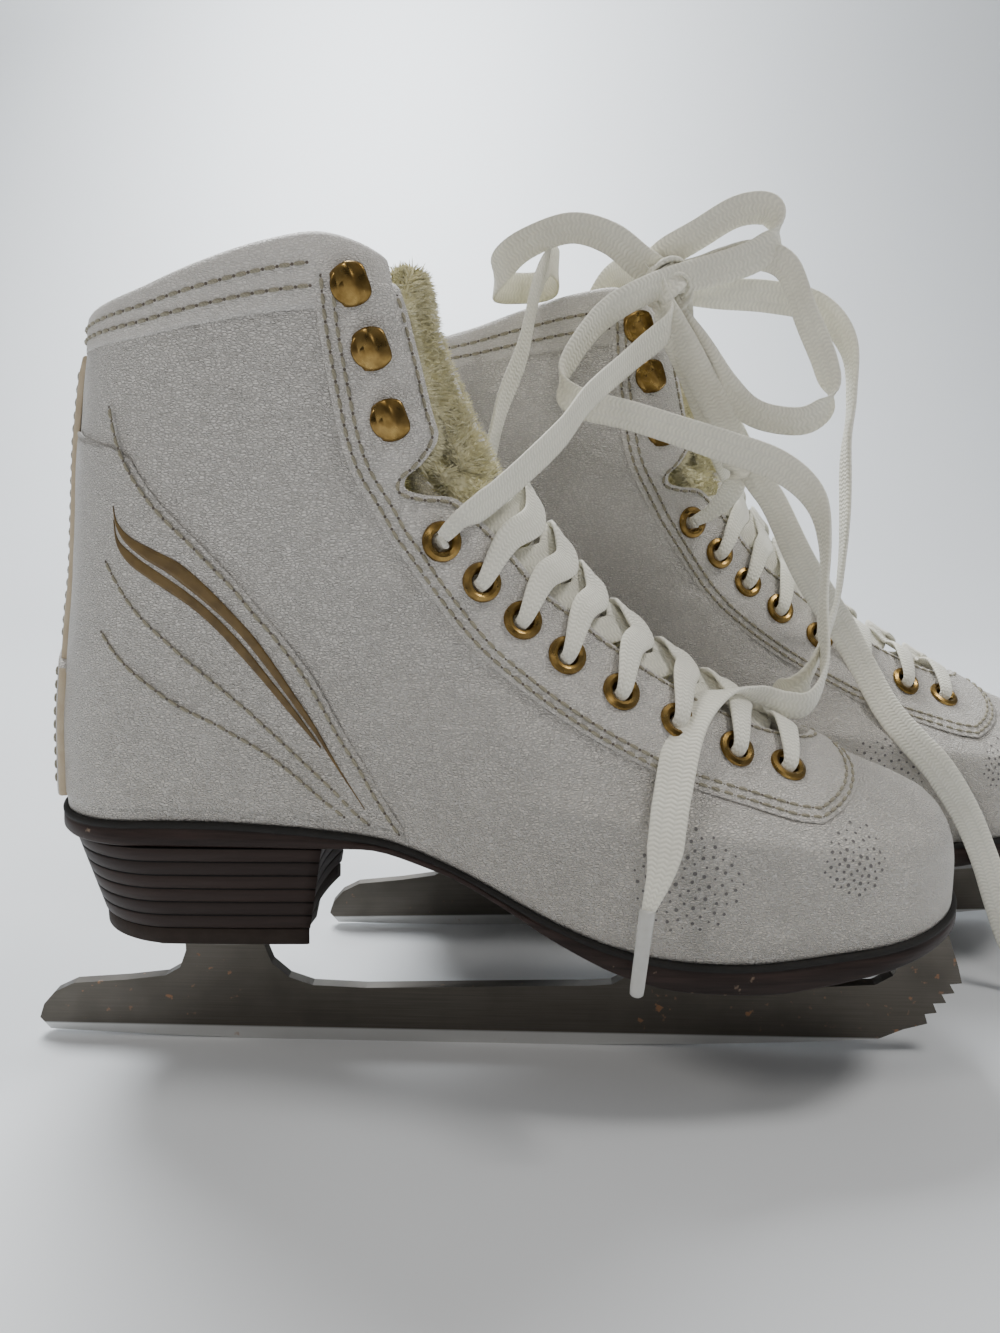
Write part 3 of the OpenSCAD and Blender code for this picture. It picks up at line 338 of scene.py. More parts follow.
def put(foot, p):
    """Moves points of one boot to its place in the pair; the left one is mirrored."""
    side, angle, at = PLACES[foot]
    c, s = math.cos(math.radians(angle)), math.sin(math.radians(angle))
    x, y, z = p[..., 0] - BOOT_MIDDLE, side * p[..., 1], p[..., 2]
    return np.stack([at[0] + x * c - y * s, at[1] + x * s + y * c, z], -1)


# Meshes --------------------------------------------------------------------------------------
def build(name, verts, faces, materials, body=ROOT, uv=None, picks=None, turn=False):
    """A mesh object from points in millimetres, faces (or lists of them) and materials."""
    faces = [list(map(int, f)) for f in faces]
    if turn:
        faces = [f[::-1] for f in faces]
    mesh = bpy.data.meshes.new(name)
    mesh.from_pydata((np.asarray(verts) * MM).tolist(), [], faces)
    mesh.polygons.foreach_set("use_smooth", np.full(len(faces), True))
    for m in materials:
        mesh.materials.append(m)
    if picks is not None:
        mesh.polygons.foreach_set("material_index", np.asarray(picks, np.int32))
    if uv is not None:
        layer = mesh.uv_layers.new(name="UVMap")
        loops = np.empty(len(mesh.loops), np.int32)
        mesh.loops.foreach_get("vertex_index", loops)
        layer.data.foreach_set("uv", np.asarray(uv, np.float32)[loops].ravel())
    mesh.update()
    obj = bpy.data.objects.new(name, mesh)
    bpy.context.scene.collection.objects.link(obj)
    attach(obj, body)
    return obj


def mend(obj, distance=1e-6):
    """Merges doubles, and turns the faces of a closed shell outwards."""
    bm = bmesh.new()
    bm.from_mesh(obj.data)
    bmesh.ops.remove_doubles(bm, verts=bm.verts, dist=distance)
    bmesh.ops.dissolve_degenerate(bm, dist=1e-7, edges=bm.edges)
    bmesh.ops.recalc_face_normals(bm, faces=bm.faces)
    bm.to_mesh(obj.data)
    bm.free()
    obj.data.update()
    return obj


def grid_faces(rows, columns, start=0, wrap=False):
    """Faces of a grid of points stored row by row."""
    r, c = np.meshgrid(np.arange(rows - 1), np.arange(columns - (0 if wrap else 1)), indexing="ij")
    d = (c + 1) % columns
    return (start + np.stack([r * columns + c, (r + 1) * columns + c, (r + 1) * columns + d,
                              r * columns + d], -1)).reshape(-1, 4)


def shell(outer, inner):
    """A closed skin between two grids of the same size."""
    rows, cols = outer.shape[:2]
    n = rows * cols
    ids = np.arange(n).reshape(rows, cols)
    top = grid_faces(rows, cols)
    low = grid_faces(rows, cols, n)[:, ::-1]
    rim = np.concatenate([ids[0, :-1], ids[:-1, -1], ids[-1, :0:-1], ids[:0:-1, 0]])
    nxt = np.roll(rim, -1)
    wall = np.stack([rim, nxt, nxt + n, rim + n], -1)
    return np.vstack([outer.reshape(-1, 3), inner.reshape(-1, 3)]), np.vstack([top, low, wall])


def tube(rings, caps=True):
    """A tube through rings of points, rings x sides x 3, closed at both ends."""
    n, m = rings.shape[:2]
    faces = [list(f) for f in grid_faces(n, m, 0, True)]
    if caps:
        faces += [list(range(m)), list(range((n - 1) * m, n * m))[::-1]]
    return rings.reshape(-1, 3), faces


def merged(parts):
    """One array of points and one list of faces from parts that each have their own."""
    verts, faces, start = [], [], 0
    for v, f in parts:
        verts.append(v)
        faces += [[i + start for i in q] for q in f]
        start += len(v)
    return np.vstack(verts), faces


def crowd(count, edge=0.01):
    """Shares from 0 to 1 that crowd at both ends, where an edge is rounded."""
    ends = np.array([0, 0.2, 0.55]) * edge
    return np.concatenate([ends, np.linspace(edge, 1 - edge, count), 1 - ends[::-1]])


def edge_round(t_rows, t_cols, drop=0.75):
    """How far the outer face sinks at the border of a panel: 1 in the middle, less at its edges."""
    def side(t):
        out = np.ones(len(t))
        out[[0, -1]], out[[1, -2]], out[[2, -3]] = 1 - drop, 1 - 0.35 * drop, 1 - 0.08 * drop
        return out
    return np.minimum(side(t_rows)[:, None], side(t_cols)[None, :])


def panel(name, foot, rises, turns, low, high, materials, dents=None):
    """A piece of leather on the boot: two skins of the boot's face, its outer border rounded."""
    amount = edge_round(rises[:, 0], turns[0])
    lift = low + (high - low) * amount
    if dents is not None:
        lift = lift + dents * (amount > 0.95)
    verts, faces = shell(skin(rises, turns, lift), skin(rises, turns, low))
    return mend(build(name, put(foot, verts), faces, materials))


def ribbon(points, across, width, thick, bow=0.0):
    """Rings of a flat lace: at each point an oval, wide along across and thin along the normal."""
    way = unit(np.gradient(points, axis=0))
    a = unit(across - (across * way).sum(1, keepdims=True) * way)
    n = np.cross(way, a)
    angle = round_angles(16) + np.pi / 16
    cs, sn = np.cos(angle), np.sin(angle)
    u = np.sign(cs) * np.abs(cs) ** 0.55
    v = np.sign(sn) * np.abs(sn) ** 0.75
    w, t = np.broadcast_to(width, len(points)), np.broadcast_to(thick, len(points))
    rings = (points[:, None] + a[:, None] * (u[None, :, None] * w[:, None, None] / 2)
             + n[:, None] * ((v[None, :] * t[:, None] / 2 + bow * (1 - u[None, :] ** 2))[..., None]))
    length = along(points)
    uv = np.stack(np.broadcast_arrays(u[None, :] * 0.5 + 0.5, length[:, None] * 0.1), -1)
    return rings, uv.reshape(-1, 2)


# Materials -----------------------------------------------------------------------------------
def tint(colour, *shares):
    """The colour with its channels multiplied by three shares, or all by one."""
    return tuple(c * s for c, s in zip(colour, shares * (3 // len(shares))))


class Recipe:
    """A material's node tree with short calls: each call adds one node and returns its output."""

    def __init__(self, name, colour=(0.8, 0.8, 0.8), rough=0.5, metal=0.0, **sockets):
        self.mat = bpy.data.materials.new(name)
        self.mat.use_nodes = True
        self.tree = self.mat.node_tree
        self.shader = self.tree.nodes["Principled BSDF"]
        self.set("Base Color", (*colour, 1))
        self.set("Roughness", rough)
        self.set("Metallic", metal)
        for key, value in sockets.items():
            self.set(key.replace("_", " "), value)
        self.mat.diffuse_color = (*colour, 1)
        coords = self.tree.nodes.new("ShaderNodeTexCoord")
        self.at, self.uv = coords.outputs["Object"], coords.outputs["UV"]
        self.height = None

    def set(self, socket, value):
        self.join(value, self.shader.inputs[socket])

    def join(self, value, socket):
        if isinstance(value, bpy.types.NodeSocket):
            self.tree.links.new(value, socket)
        else:
            socket.default_value = value

    def add(self, kind, out=0, settings=None, **inputs):
        node = self.tree.nodes.new("ShaderNode" + kind)
        for key, value in (settings or {}).items():
            setattr(node, key, value)
        for key, value in inputs.items():
            numbered = key[0] == "i" and key[1:].isdigit()
            self.join(value, node.inputs[int(key[1:]) if numbered else key])
        return node.outputs[out]

    def noise(self, scale, detail=3, vector=None, rough=0.5):
        return self.add("TexNoise", Vector=vector or self.at, Scale=scale, Detail=detail, Roughness=rough)

    def cells(self, scale, feature="F1", vector=None):
        return self.add("TexVoronoi", settings={"feature": feature}, Vector=vector or self.at, Scale=scale)

    def math(self, kind, a, b=0.0, c=0.0):
        return self.add("Math", settings={"operation": kind}, i0=a, i1=b, i2=c)

    def times(self, a, b):
        return self.math("MULTIPLY", a, b)

    def axis(self, index, vector=None):
        return self.add("SeparateXYZ", index, Vector=vector or self.at)

    def span(self, value, low, high, to_low=0.0, to_high=1.0):
        return self.add("MapRange", Value=value, **{"From Min": low, "From Max": high,
                                                   "To Min": to_low, "To Max": to_high})

    def blend(self, factor, a, b, mode="MIX"):
        node = self.tree.nodes.new("ShaderNodeMix")
        node.data_type, node.blend_type = "RGBA", mode
        for value, socket in ((factor, node.inputs[0]), (a, node.inputs[6]), (b, node.inputs[7])):
            self.join((*value, 1) if isinstance(value, tuple) and len(value) == 3 else value, socket)
        return node.outputs[2]

    def stretch(self, scale, turn=(0, 0, 0)):
        return self.add("Mapping", Vector=self.at, Scale=scale, Rotation=turn)

    def bump(self, height, strength, distance):
        node = self.tree.nodes.new("ShaderNodeBump")
        node.inputs["Strength"].default_value = strength
        node.inputs["Distance"].default_value = distance
        self.join(height, node.inputs["Height"])
        if self.height is not None:
            self.tree.links.new(self.height, node.inputs["Normal"])
        self.height = node.outputs[0]
        self.set("Normal", self.height)


MADE = {}


def finish_of(name):
    """The finished material of that name, made once."""
    if name not in MADE:
        MADE[name] = FINISHES[name](bpy.context.scene.skates)
    return MADE[name]


def leather(name, colour, rough=0.42, grain=1.0, dirt=0.5):
    r = Recipe(name, colour, rough, Specular_IOR_Level=0.4)
    cloud = r.span(r.noise(28, 4), 0.35, 0.75)
    # Painted shade: the leather darkens smoothly towards the bottom of the boot, as under light from above;
    # the grime below is also weighted towards the bottom by this ramp.
    foot = r.span(r.axis(2), 0.15, 0.05)
    grime = r.times(r.span(r.noise(55, 6), 0.45, 0.8), r.math("ADD", 0.18, r.times(foot, 0.7)))
    tone = r.blend(r.times(foot, 0.9), colour, tint(colour, 0.80, 0.77, 0.72))
    tone = r.blend(r.times(cloud, 0.25 * dirt), tone, tint(colour, 0.80, 0.78, 0.74))
    tone = r.blend(r.times(grime, dirt), tone, (0.42, 0.38, 0.32))
    scuff = r.noise(30, 8, r.stretch((1, 1, 6), (0.3, 0.5, 0.2)), 0.7)
    tone = r.blend(r.span(scuff, 0.66, 0.74, 0, 0.35 * dirt), tone, (0.45, 0.43, 0.40))
    r.set("Roughness", r.span(r.noise(90, 3), 0.3, 0.7, rough - 0.08, rough + 0.1))
    wave = r.add("VectorMath", settings={"operation": "ADD"},
                 i0=r.stretch((850, 1300, 1750), (0, 0.3, 0)),
                 i1=r.add("TexNoise", 1, Vector=r.at, Scale=600, Detail=2))
    # Painted shade in the grain: the base colour below is darker along the creases between the grain's cells,
    # which are also bumped.
    crease = r.span(r.cells(1, "DISTANCE_TO_EDGE", wave), 0.02, 0.22)
    fine = r.noise(1, 3, r.stretch((500, 800, 1500), (0, 0.25, 0)), 0.6)
    r.set("Base Color", r.blend(crease, tint(colour, 1 - 0.22 * grain), tone))
    r.bump(r.noise(65, 4), 0.30 * grain, 0.0012)
    r.bump(crease, 0.8 * grain, 0.0007)
    r.bump(fine, 0.5 * grain, 0.0006)
    return r.mat


def raw_edge(s):
    r = Recipe("raw_leather", (0.62, 0.52, 0.38), 0.75)
    r.set("Base Color", r.blend(r.noise(300, 5), (0.66, 0.57, 0.43), (0.47, 0.37, 0.24)))
    r.bump(r.noise(900, 4), 0.6, 0.0003)
    return r.mat


def plush(s):
    c = tuple(s.plush)
    r = Recipe("plush", c, 0.95, Sheen_Weight=0.5, Sheen_Roughness=0.5)
    tone = r.blend(r.span(r.noise(170, 5), 0.3, 0.75), tint(c, 0.8), c)
    tone = r.blend(r.span(r.noise(24, 2), 0.4, 0.8, 0, 0.4), tone, tint(c, 0.75, 0.72, 0.55))
    r.set("Base Color", tone)
    r.bump(r.noise(650, 5), 0.9, 0.0012)
    r.bump(r.noise(180, 3), 0.7, 0.002)
    return r.mat


def woven(name, colour, pitch=1.25, dark=0.75):
    """Flat weave: two rows of slanted yarns that meet in a chevron along the middle, the colour painted darker
    between the yarns and the rows as painted shade.
    """
    r = Recipe(name, colour, 0.85, Sheen_Weight=0.25, Sheen_Roughness=0.4)
    lanes = r.math("PINGPONG", r.times(r.axis(0, r.uv), 6.0), 1.0)
    slant = r.math("ADD", r.times(r.axis(1, r.uv), 10 / pitch), r.times(lanes, 0.5))
    yarn = r.math("SINE", r.times(slant, 2 * math.pi))
    # Painted shade: the weave mask darkens the colour between the yarns and between the rows, and also drives
    # the bump.
    weave = r.times(r.span(yarn, -1, 1), r.span(lanes, 0.0, 0.35, 0.35, 1))
    worn = r.span(r.noise(60, 4), 0.45, 0.8, 0, 0.25)
    r.set("Base Color", r.blend(worn, r.blend(weave, tint(colour, dark), colour), (0.62, 0.58, 0.50)))
    r.bump(weave, 0.6, 0.0003)
    r.bump(r.noise(2500, 2), 0.35, 0.0001)
    return r.mat


def thread(s):
    r = Recipe("thread", tuple(s.thread), 0.7, Sheen_Weight=0.3)
    # Painted shade: diagonal twist bands darken the thread's colour between its plies, and also bump it.
    twist = r.add("TexWave", settings={"bands_direction": "DIAGONAL"},
                  Vector=r.at, Scale=700, Distortion=1)
    r.set("Base Color", r.blend(twist, tint(s.thread, 0.72), tuple(s.thread)))
    r.bump(twist, 0.5, 0.0001)
    return r.mat


def plain_dark(name, colour):
    r = Recipe(name, colour, 0.9)
    r.set("Base Color", r.blend(r.noise(400, 2), colour, tint(colour, 1.6)))
    return r.mat


def steel(name, colour, rough, scale=(60, 60, 2600), rust=0.4, bright=0.0):
    """Ground steel: fine streaks along the blade, cloudy tarnish and a few rust specks."""
    r = Recipe(name, colour, rough, 1.0, Anisotropic=0.35)
    streak = r.noise(1, 4, r.stretch(scale))
    cloud = r.noise(45, 5)
    tone = r.blend(r.span(streak, 0.3, 0.7), tint(colour, 0.78), colour)
    tone = r.blend(r.span(cloud, 0.45, 0.75, 0, 0.5), tone, tint(colour, 0.6))
    speck = r.times(r.span(r.noise(330, 6), 0.64, 0.70), r.span(r.noise(32, 2), 0.5, 0.62))
    speck = r.times(speck, rust)
    if bright:
        tone = r.blend(r.span(r.axis(2), 0.0042, 0.0036, 0, bright), tone, (0.78, 0.78, 0.77))
    r.set("Base Color", r.blend(speck, tone, (0.33, 0.15, 0.06)))
    r.set("Metallic", r.span(speck, 0, 0.5, 1, 0.1))
    dull = r.math("ADD", cloud, r.times(streak, 0.5))
    r.set("Roughness", r.span(dull, 0.5, 1.0, rough - 0.1, rough + 0.15))
    r.bump(streak, 0.25, 0.00005)
    return r.mat


def brass(s):
    c = tuple(s.brass)
    r = Recipe("antique_brass", c, 0.28, 1.0)
    worn = r.span(r.noise(420, 5), 0.35, 0.7)
    tone = r.blend(worn, tint(c, 0.6, 0.56, 0.5), c)
    tone = r.blend(r.span(r.noise(120, 3), 0.5, 0.8, 0, 0.3), tone, (0.52, 0.36, 0.15))
    r.set("Base Color", tone)
    r.set("Roughness", r.span(worn, 0, 1, 0.38, 0.22))
    r.bump(r.noise(900, 3), 0.2, 0.00006)
    return r.mat


def sole_finish(s):
    """Dark stained sole: long streaks and small nicks."""
    c = tuple(s.sole)
    r = Recipe("sole_brown", c, 0.55, Specular_IOR_Level=0.25)
    streak = r.noise(1, 6, r.stretch((22, 22, 420)), 0.65)
    tone = r.blend(r.span(streak, 0.35, 0.7), tint(c, 0.5), tint(c, 1.45))
    nick = r.span(r.noise(210, 5), 0.68, 0.74)
    r.set("Base Color", r.blend(r.times(nick, 0.6), tone, (0.42, 0.30, 0.21)))
    r.bump(streak, 0.5, 0.0003)
    r.bump(r.noise(1300, 3), 0.3, 0.0001)
    return r.mat


def heel_finish(s):
    """Stacked layers: each lift has its own brown, with a dark line between two of them."""
    c = tuple(s.sole)
    r = Recipe("heel_stack", c, 0.55, Specular_IOR_Level=0.25)
    step = r.math("DIVIDE", r.math("SUBTRACT", r.axis(2), (HEEL_LOW + TOP_LIFT) * MM), 4 * MM)
    own = r.add("TexWhiteNoise", settings={"noise_dimensions": "1D"}, W=r.math("FLOOR", step))
    near = r.math("ABSOLUTE", r.math("SUBTRACT", r.math("FRACT", r.math("ADD", step, 0.5)), 0.5))
    streak = r.noise(1, 6, r.stretch((30, 30, 700)), 0.65)
    tone = r.blend(own, tint(c, 0.85), tint(c, 1.25, 1.2, 1.15))
    tone = r.blend(r.span(streak, 0.35, 0.75, 0, 0.6), tone, tint(c, 0.45))
    r.set("Base Color", r.blend(r.span(near, 0.08, 0.04), tone, (0.004, 0.003, 0.003)))
    r.bump(r.span(near, 0.0, 0.12), 0.6, 0.0003)
    r.bump(streak, 0.4, 0.0002)
    return r.mat


def rubber(s):
    r = Recipe("heel_rubber", (0.03, 0.022, 0.019), 0.75, Specular_IOR_Level=0.2)
    r.set("Base Color", r.blend(r.noise(260, 5), (0.022, 0.016, 0.013), (0.045, 0.032, 0.026)))
    r.bump(r.noise(800, 3), 0.5, 0.0002)
    return r.mat


def aglet_film(s):
    r = Recipe("aglet_film", (0.88, 0.88, 0.84), 0.22, Transmission_Weight=0.35, IOR=1.45)
    r.set("Base Color", r.blend(r.noise(500, 3), (0.90, 0.90, 0.87), (0.74, 0.73, 0.68)))
    r.bump(r.noise(300, 2), 0.2, 0.0003)
    return r.mat


def stripe_finish(s):
    c = tuple(s.stripe)
    r = Recipe("stripe_gold", c, 0.5)
    r.set("Base Color", r.blend(r.span(r.noise(260, 6), 0.4, 0.7), c, tint(c, 0.62, 0.58, 0.5)))
    r.bump(r.noise(1500, 2), 0.3, 0.0001)
    return r.mat


def floor_finish(s):
    r = Recipe("floor_pale", tuple(s.floor), 0.55)
    # Painted shade: the floor darkens and warms towards the camera, standing in for the light's falloff.
    near = r.span(r.axis(1), -0.1, -1.0)
    tone = r.blend(near, tuple(s.floor), tint(s.floor, 0.86, 0.78, 0.74))
    cloud = r.span(r.noise(3, 4), 0.4, 0.7, 0, 0.25)
    r.set("Base Color", r.blend(cloud, tone, tint(s.floor, 0.9)))
    return r.mat


FINISHES = {
    "upper": lambda s: leather("leather_white", tuple(s.leather)),
    "facing": lambda s: leather("leather_facing", tint(s.leather, 1.01), 0.4, 0.9, 0.4),
    "tongue": lambda s: leather("leather_tongue", tint(s.leather, 1.01), 0.5, 0.8, 0.35),
    "binding": lambda s: leather("leather_binding", tint(s.leather, 0.96), 0.5, 0.7, 0.6),
    "raw": raw_edge,
    "plush": plush,
    "lace": lambda s: woven("lace_woven", tuple(s.lace), dark=0.86),
    "sock": lambda s: woven("sock_felt", (0.62, 0.57, 0.42), 2.0, 0.8),
    "thread": thread,
    # Flat dark discs painted as the shade inside the needle holes
    "hole": lambda s: plain_dark("needle_hole_shade", (0.10, 0.085, 0.07)),
    # Flat dark discs painted as the shade inside the punched holes
    "dot_shade": lambda s: plain_dark("punched_hole_shade", (0.13, 0.125, 0.12)),
    "line": lambda s: plain_dark("welt_line", (0.012, 0.011, 0.010)),
    "stripe": stripe_finish,
    "brass": brass,
    "blade": lambda s: steel("blade_steel", tuple(s.steel), 0.42, (40, 40, 2600), 0.9, 0.8),
    "plates": lambda s: steel("plate_steel", (0.20, 0.19, 0.17), 0.34, (300, 300, 300), 0.6),
    "screws": lambda s: steel("screw_steel", (0.34, 0.33, 0.30), 0.36, (500, 500, 500), 0.5),
    "sole": sole_finish,
    "heel": heel_finish,
    "rubber": rubber,
    "board": raw_edge,
    "aglet": aglet_film,
    "floor": floor_finish,
    "shade": lambda s: plain_dark("dark_wall_paint", (0.07, 0.07, 0.07)),
}


# Boot leather --------------------------------------------------------------------------------
def inside(points, outline):
    """Whether each point lies in the outline, by counting the crossings of a ray."""
    hit = np.zeros(len(points), bool)
    px, py = points[:, 0], points[:, 1]
    for (x0, y0), (x1, y1) in zip(outline, np.roll(outline, -1, 0)):
        cross = (y0 > py) != (y1 > py)
        hit ^= cross & (px < (x1 - x0) * (py - y0) / ((y1 - y0) or 1e-12) + x0)
    return hit


def creases(p):
    """Slow waves of worn leather, with bends across the instep and round the ankle."""
    x, z = p[..., 0], p[..., 2]
    bend = (np.sin((x * 0.75 + z * 0.65) / 4.2 + wander(p, 60, 2))
            * np.exp(-((x - 118) / 30) ** 2 - ((z - 108) / 26) ** 2))
    ball = (np.sin((x - 0.35 * z) / 3.6 + wander(p, 50, 5))
            * np.exp(-((x - 165) / 16) ** 2 - ((z - 72) / 16) ** 2))
    return 0.28 * wander(p, 46, 1) + 0.14 * wander(p, 17, 3) + 0.30 * bend + 0.22 * ball


def upper(foot):
    """The white upper: the boot's face on a fine grid, open under the facing, with a wall inside."""
    rises, turns = np.linspace(0, 1, 150), np.linspace(-1, 1, 241)[:-1]
    u, t = np.meshgrid(rises, turns, indexing="ij")
    base = spot(u, t)
    fade = ease(u / 0.08) * ease((1 - u) / 0.04)
    points = skin(u, t, (creases(base) - 0.18) * fade)
    faces = grid_faces(len(rises), len(turns), 0, True)
    rise = u.ravel()[faces].mean(1)
    turn = np.angle(np.exp(1j * np.pi * t.ravel()[faces]).mean(1)) / np.pi
    place = np.column_stack([rise, np.where(turn < 0, -turn - 1, 1 - turn)])
    path = facing_path(UPPER_CUT)
    hole = np.vstack([path, [[1.3, path[-1, 1]], [1.3, path[0, 1]]]])
    faces = faces[~inside(place, hole)]
    used, picks = np.unique(faces, return_inverse=True)
    obj = build(foot + "_upper_leather", put(foot, points.reshape(-1, 3)[used]),
                picks.reshape(faces.shape), [finish_of("upper")], turn=foot == "left")
    wall = obj.modifiers.new("wall", "SOLIDIFY")
    wall.thickness, wall.offset = LEATHER * MM, -1
    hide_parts(foot + "_upper")


def facing_grid(shares):
    return from_path(np.stack([facing_path(s) for s in shares], 1))


def drill(obj, centres, aims, radius, depth):
    """Cuts round holes through a piece with one cutter of many straight pegs."""
    angle = round_angles(24)[:, None]
    pegs = []
    for c, n, r in zip(centres, aims, radius):
        a = unit(np.cross(n, [0.3, 0.2, 0.9]))
        ring = (np.cos(angle) * a + np.sin(angle) * np.cross(n, a)) * r
        pegs.append(tube(np.stack([c + ring - n * depth, c + ring + n * depth])))
    cutter = mend(build("cutter", *merged(pegs), []))
    cut = obj.modifiers.new("holes", "BOOLEAN")
    cut.operation, cut.object, cut.solver = "DIFFERENCE", cutter, "EXACT"
    ready = bpy.data.meshes.new_from_object(obj.evaluated_get(bpy.context.evaluated_depsgraph_get()))
    obj.modifiers.clear()
    obj.data = ready
    bpy.data.objects.remove(cutter)


def facing_high(distance):
    """How high the facing stands at a distance from its stitched edge: thinned toward that edge."""
    return FACING * (0.35 + 0.65 * ease(distance / 7))


def facing(foot):
    """The stitched facing round the lace opening: a strip between its edge and its stitched line."""
    shares = crowd(13, 0.05)
    place = facing_grid(shares)
    low = np.where(shares > 0.81, 0.05, -LEATHER)[None, :]
    rows = np.linspace(0, 1, len(place))
    amount = edge_round(rows, shares)
    spots = spot(place[..., 0], place[..., 1])
    wide = np.linalg.norm(spots[:, 0] - spots[:, -1], axis=1)[:, None]
    high = facing_high((1 - shares)[None] * wide)
    lift = low + (high - low) * amount + 0.10 * wander(spots, 22, 4) * (amount > 0.95)
    u, t = place[..., 0], place[..., 1]
    verts, faces = shell(skin(u, t, lift), skin(u, t, low))
    obj = mend(build(foot + "_facing_leather", put(foot, verts), faces, [finish_of("facing")]))
    spots = np.vstack([place_at(*EYELETS.T), place_at(*HOOKS.T)])
    radius = [EYELET_BORE / 2 + 0.9] * len(EYELETS) + [1.7] * len(HOOKS)
    spots = np.vstack([spots, spots * [1, -1]])
    centre = put(foot, spot(spots[:, 0], spots[:, 1]))
    tip = put(foot, skin(spots[:, 0], spots[:, 1], 1.0))
    drill(obj, centre, tip - centre, radius * 2, 5)
    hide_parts(foot + "_eyestay")


def binding(foot):
    """The folded edge round the collar: one smooth section carried along the collar."""
    section = np.array([
        [-0.3, 8], [0.0, 8], [0.12, 7], [0.3, 4], [0.42, 1.5], [0.3, 0], [-0.2, -0.9], [-1.2, -1.35],
        [-2.5, -1.1], [-3.3, 0], [-3.45, 2.4], [-3.35, 4.9], [-2.5, 5], [-2.35, 1.5], [-1.2, 0.1], [0, 0.6]])
    end = facing_point(0, 0.08)[1]
    turns = np.linspace(-end, end, 190)
    rings = skin(1 - section[None, :, 1] / SHAFT_HIGH, turns[:, None], section[None, :, 0])
    verts, faces = tube(rings)
    obj = mend(build(foot + "_collar_fold", put(foot, verts), faces, [finish_of("binding")]))
    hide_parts(foot + "_collar_binding")


def heel_edge():
    """Rise and turn of the heel leather's front edge, just outside its stitched line."""
    line = smooth_line(np.array(HEEL_SEAMS[0]) + [1.2, 1.4], 5)
    place = place_at(line[:, 0], line[:, 1])
    return place[np.argsort(place[:, 0])]


def heel_leather(foot):
    """The heel's outer leather, and the two raw-edged strips down its back."""
    edge = heel_edge()
    rise = mix(0.03, 0.79, crowd(60, 0.012))
    reach = np.interp(rise, edge[:, 0], edge[:, 1]) * (1 - ease((rise - 0.76) / 0.03) * 0.5)
    across = mix(-1, 1, crowd(70, 0.012))
    u, t = np.broadcast_to(rise[:, None], (len(rise), len(across))), reach[:, None] * across[None]
    dents = 0.8 * (creases(spot(u, t)) - 0.1) * ease(u / 0.08)
    obj = panel(foot + "_heel_leather", foot, u, t, 0.02, 0.55, [finish_of("upper")], dents=dents)
    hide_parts(foot + "_heel_panel")
    for piece, node, rises, half, high in (
            ("_back_strip", "_backstay", (0.3, 0.94), 0.062, 1.9),
            ("_back_patch", "_backstay_patch", (0.03, 0.35), 0.085, 2.5)):
        rise = mix(*rises, crowd(40, 0.012))
        tip = 1 - ease((rise - rises[1] + 0.05) / 0.05) * (0.35 if node == "_backstay" else 0.75)
        u = np.broadcast_to(rise[:, None], (len(rise), 22))
        t = half * tip[:, None] * mix(-1, 1, crowd(16, 0.04))[None]
        obj = panel(foot + piece, foot, u, t, 0.1, high, [finish_of("facing"), finish_of("raw")])
        obj.data.polygons.foreach_set("material_index", rim_picks(obj))
        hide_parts(foot + node)


def rim_picks(obj):
    """Picks the raw finish for faces near the strip's long edges."""
    centres = np.array([p.center[:] for p in obj.data.polygons])
    normals = np.array([p.normal[:] for p in obj.data.polygons])
    return (np.abs(normals[:, 1]) > 0.80).astype(np.int32) * (centres[:, 2] < 0.3)


# Plush -----------------------------------------------------------------------------------------
def pile(name, foot, root, way, rng, length, finish, body):
    """One mesh of tapered bent blades, two faces each, from roots and directions."""
    count = len(root)
    side = unit(np.cross(way, rng.normal(0, 1, (count, 3))))
    size = length * rng.uniform(0.6, 1.15, (count, 1))
    curl = np.cross(way, side) * size * rng.uniform(-0.45, 0.45, (count, 1))
    half = side * rng.uniform(0.16, 0.32, (count, 1))
    mid = root + way * size * 0.55 + curl * 0.4
    verts = np.stack([root - half - way * 0.6, root + half - way * 0.6, mid + half * 0.8,
                      mid - half * 0.8, root + way * size + curl], 1).reshape(-1, 3)
    base = np.arange(count)[:, None] * 5
    faces = [list(f) for f in base + [0, 1, 2, 3]] + [list(f) for f in base + [3, 2, 4]]
    build(name, put(foot, verts), faces, [finish_of(finish)], body)


def comb(root):
    """The slow drift in direction that neighbouring hairs share."""
    return np.stack([wander(root, 13, 30 + k) for k in range(3)], -1)


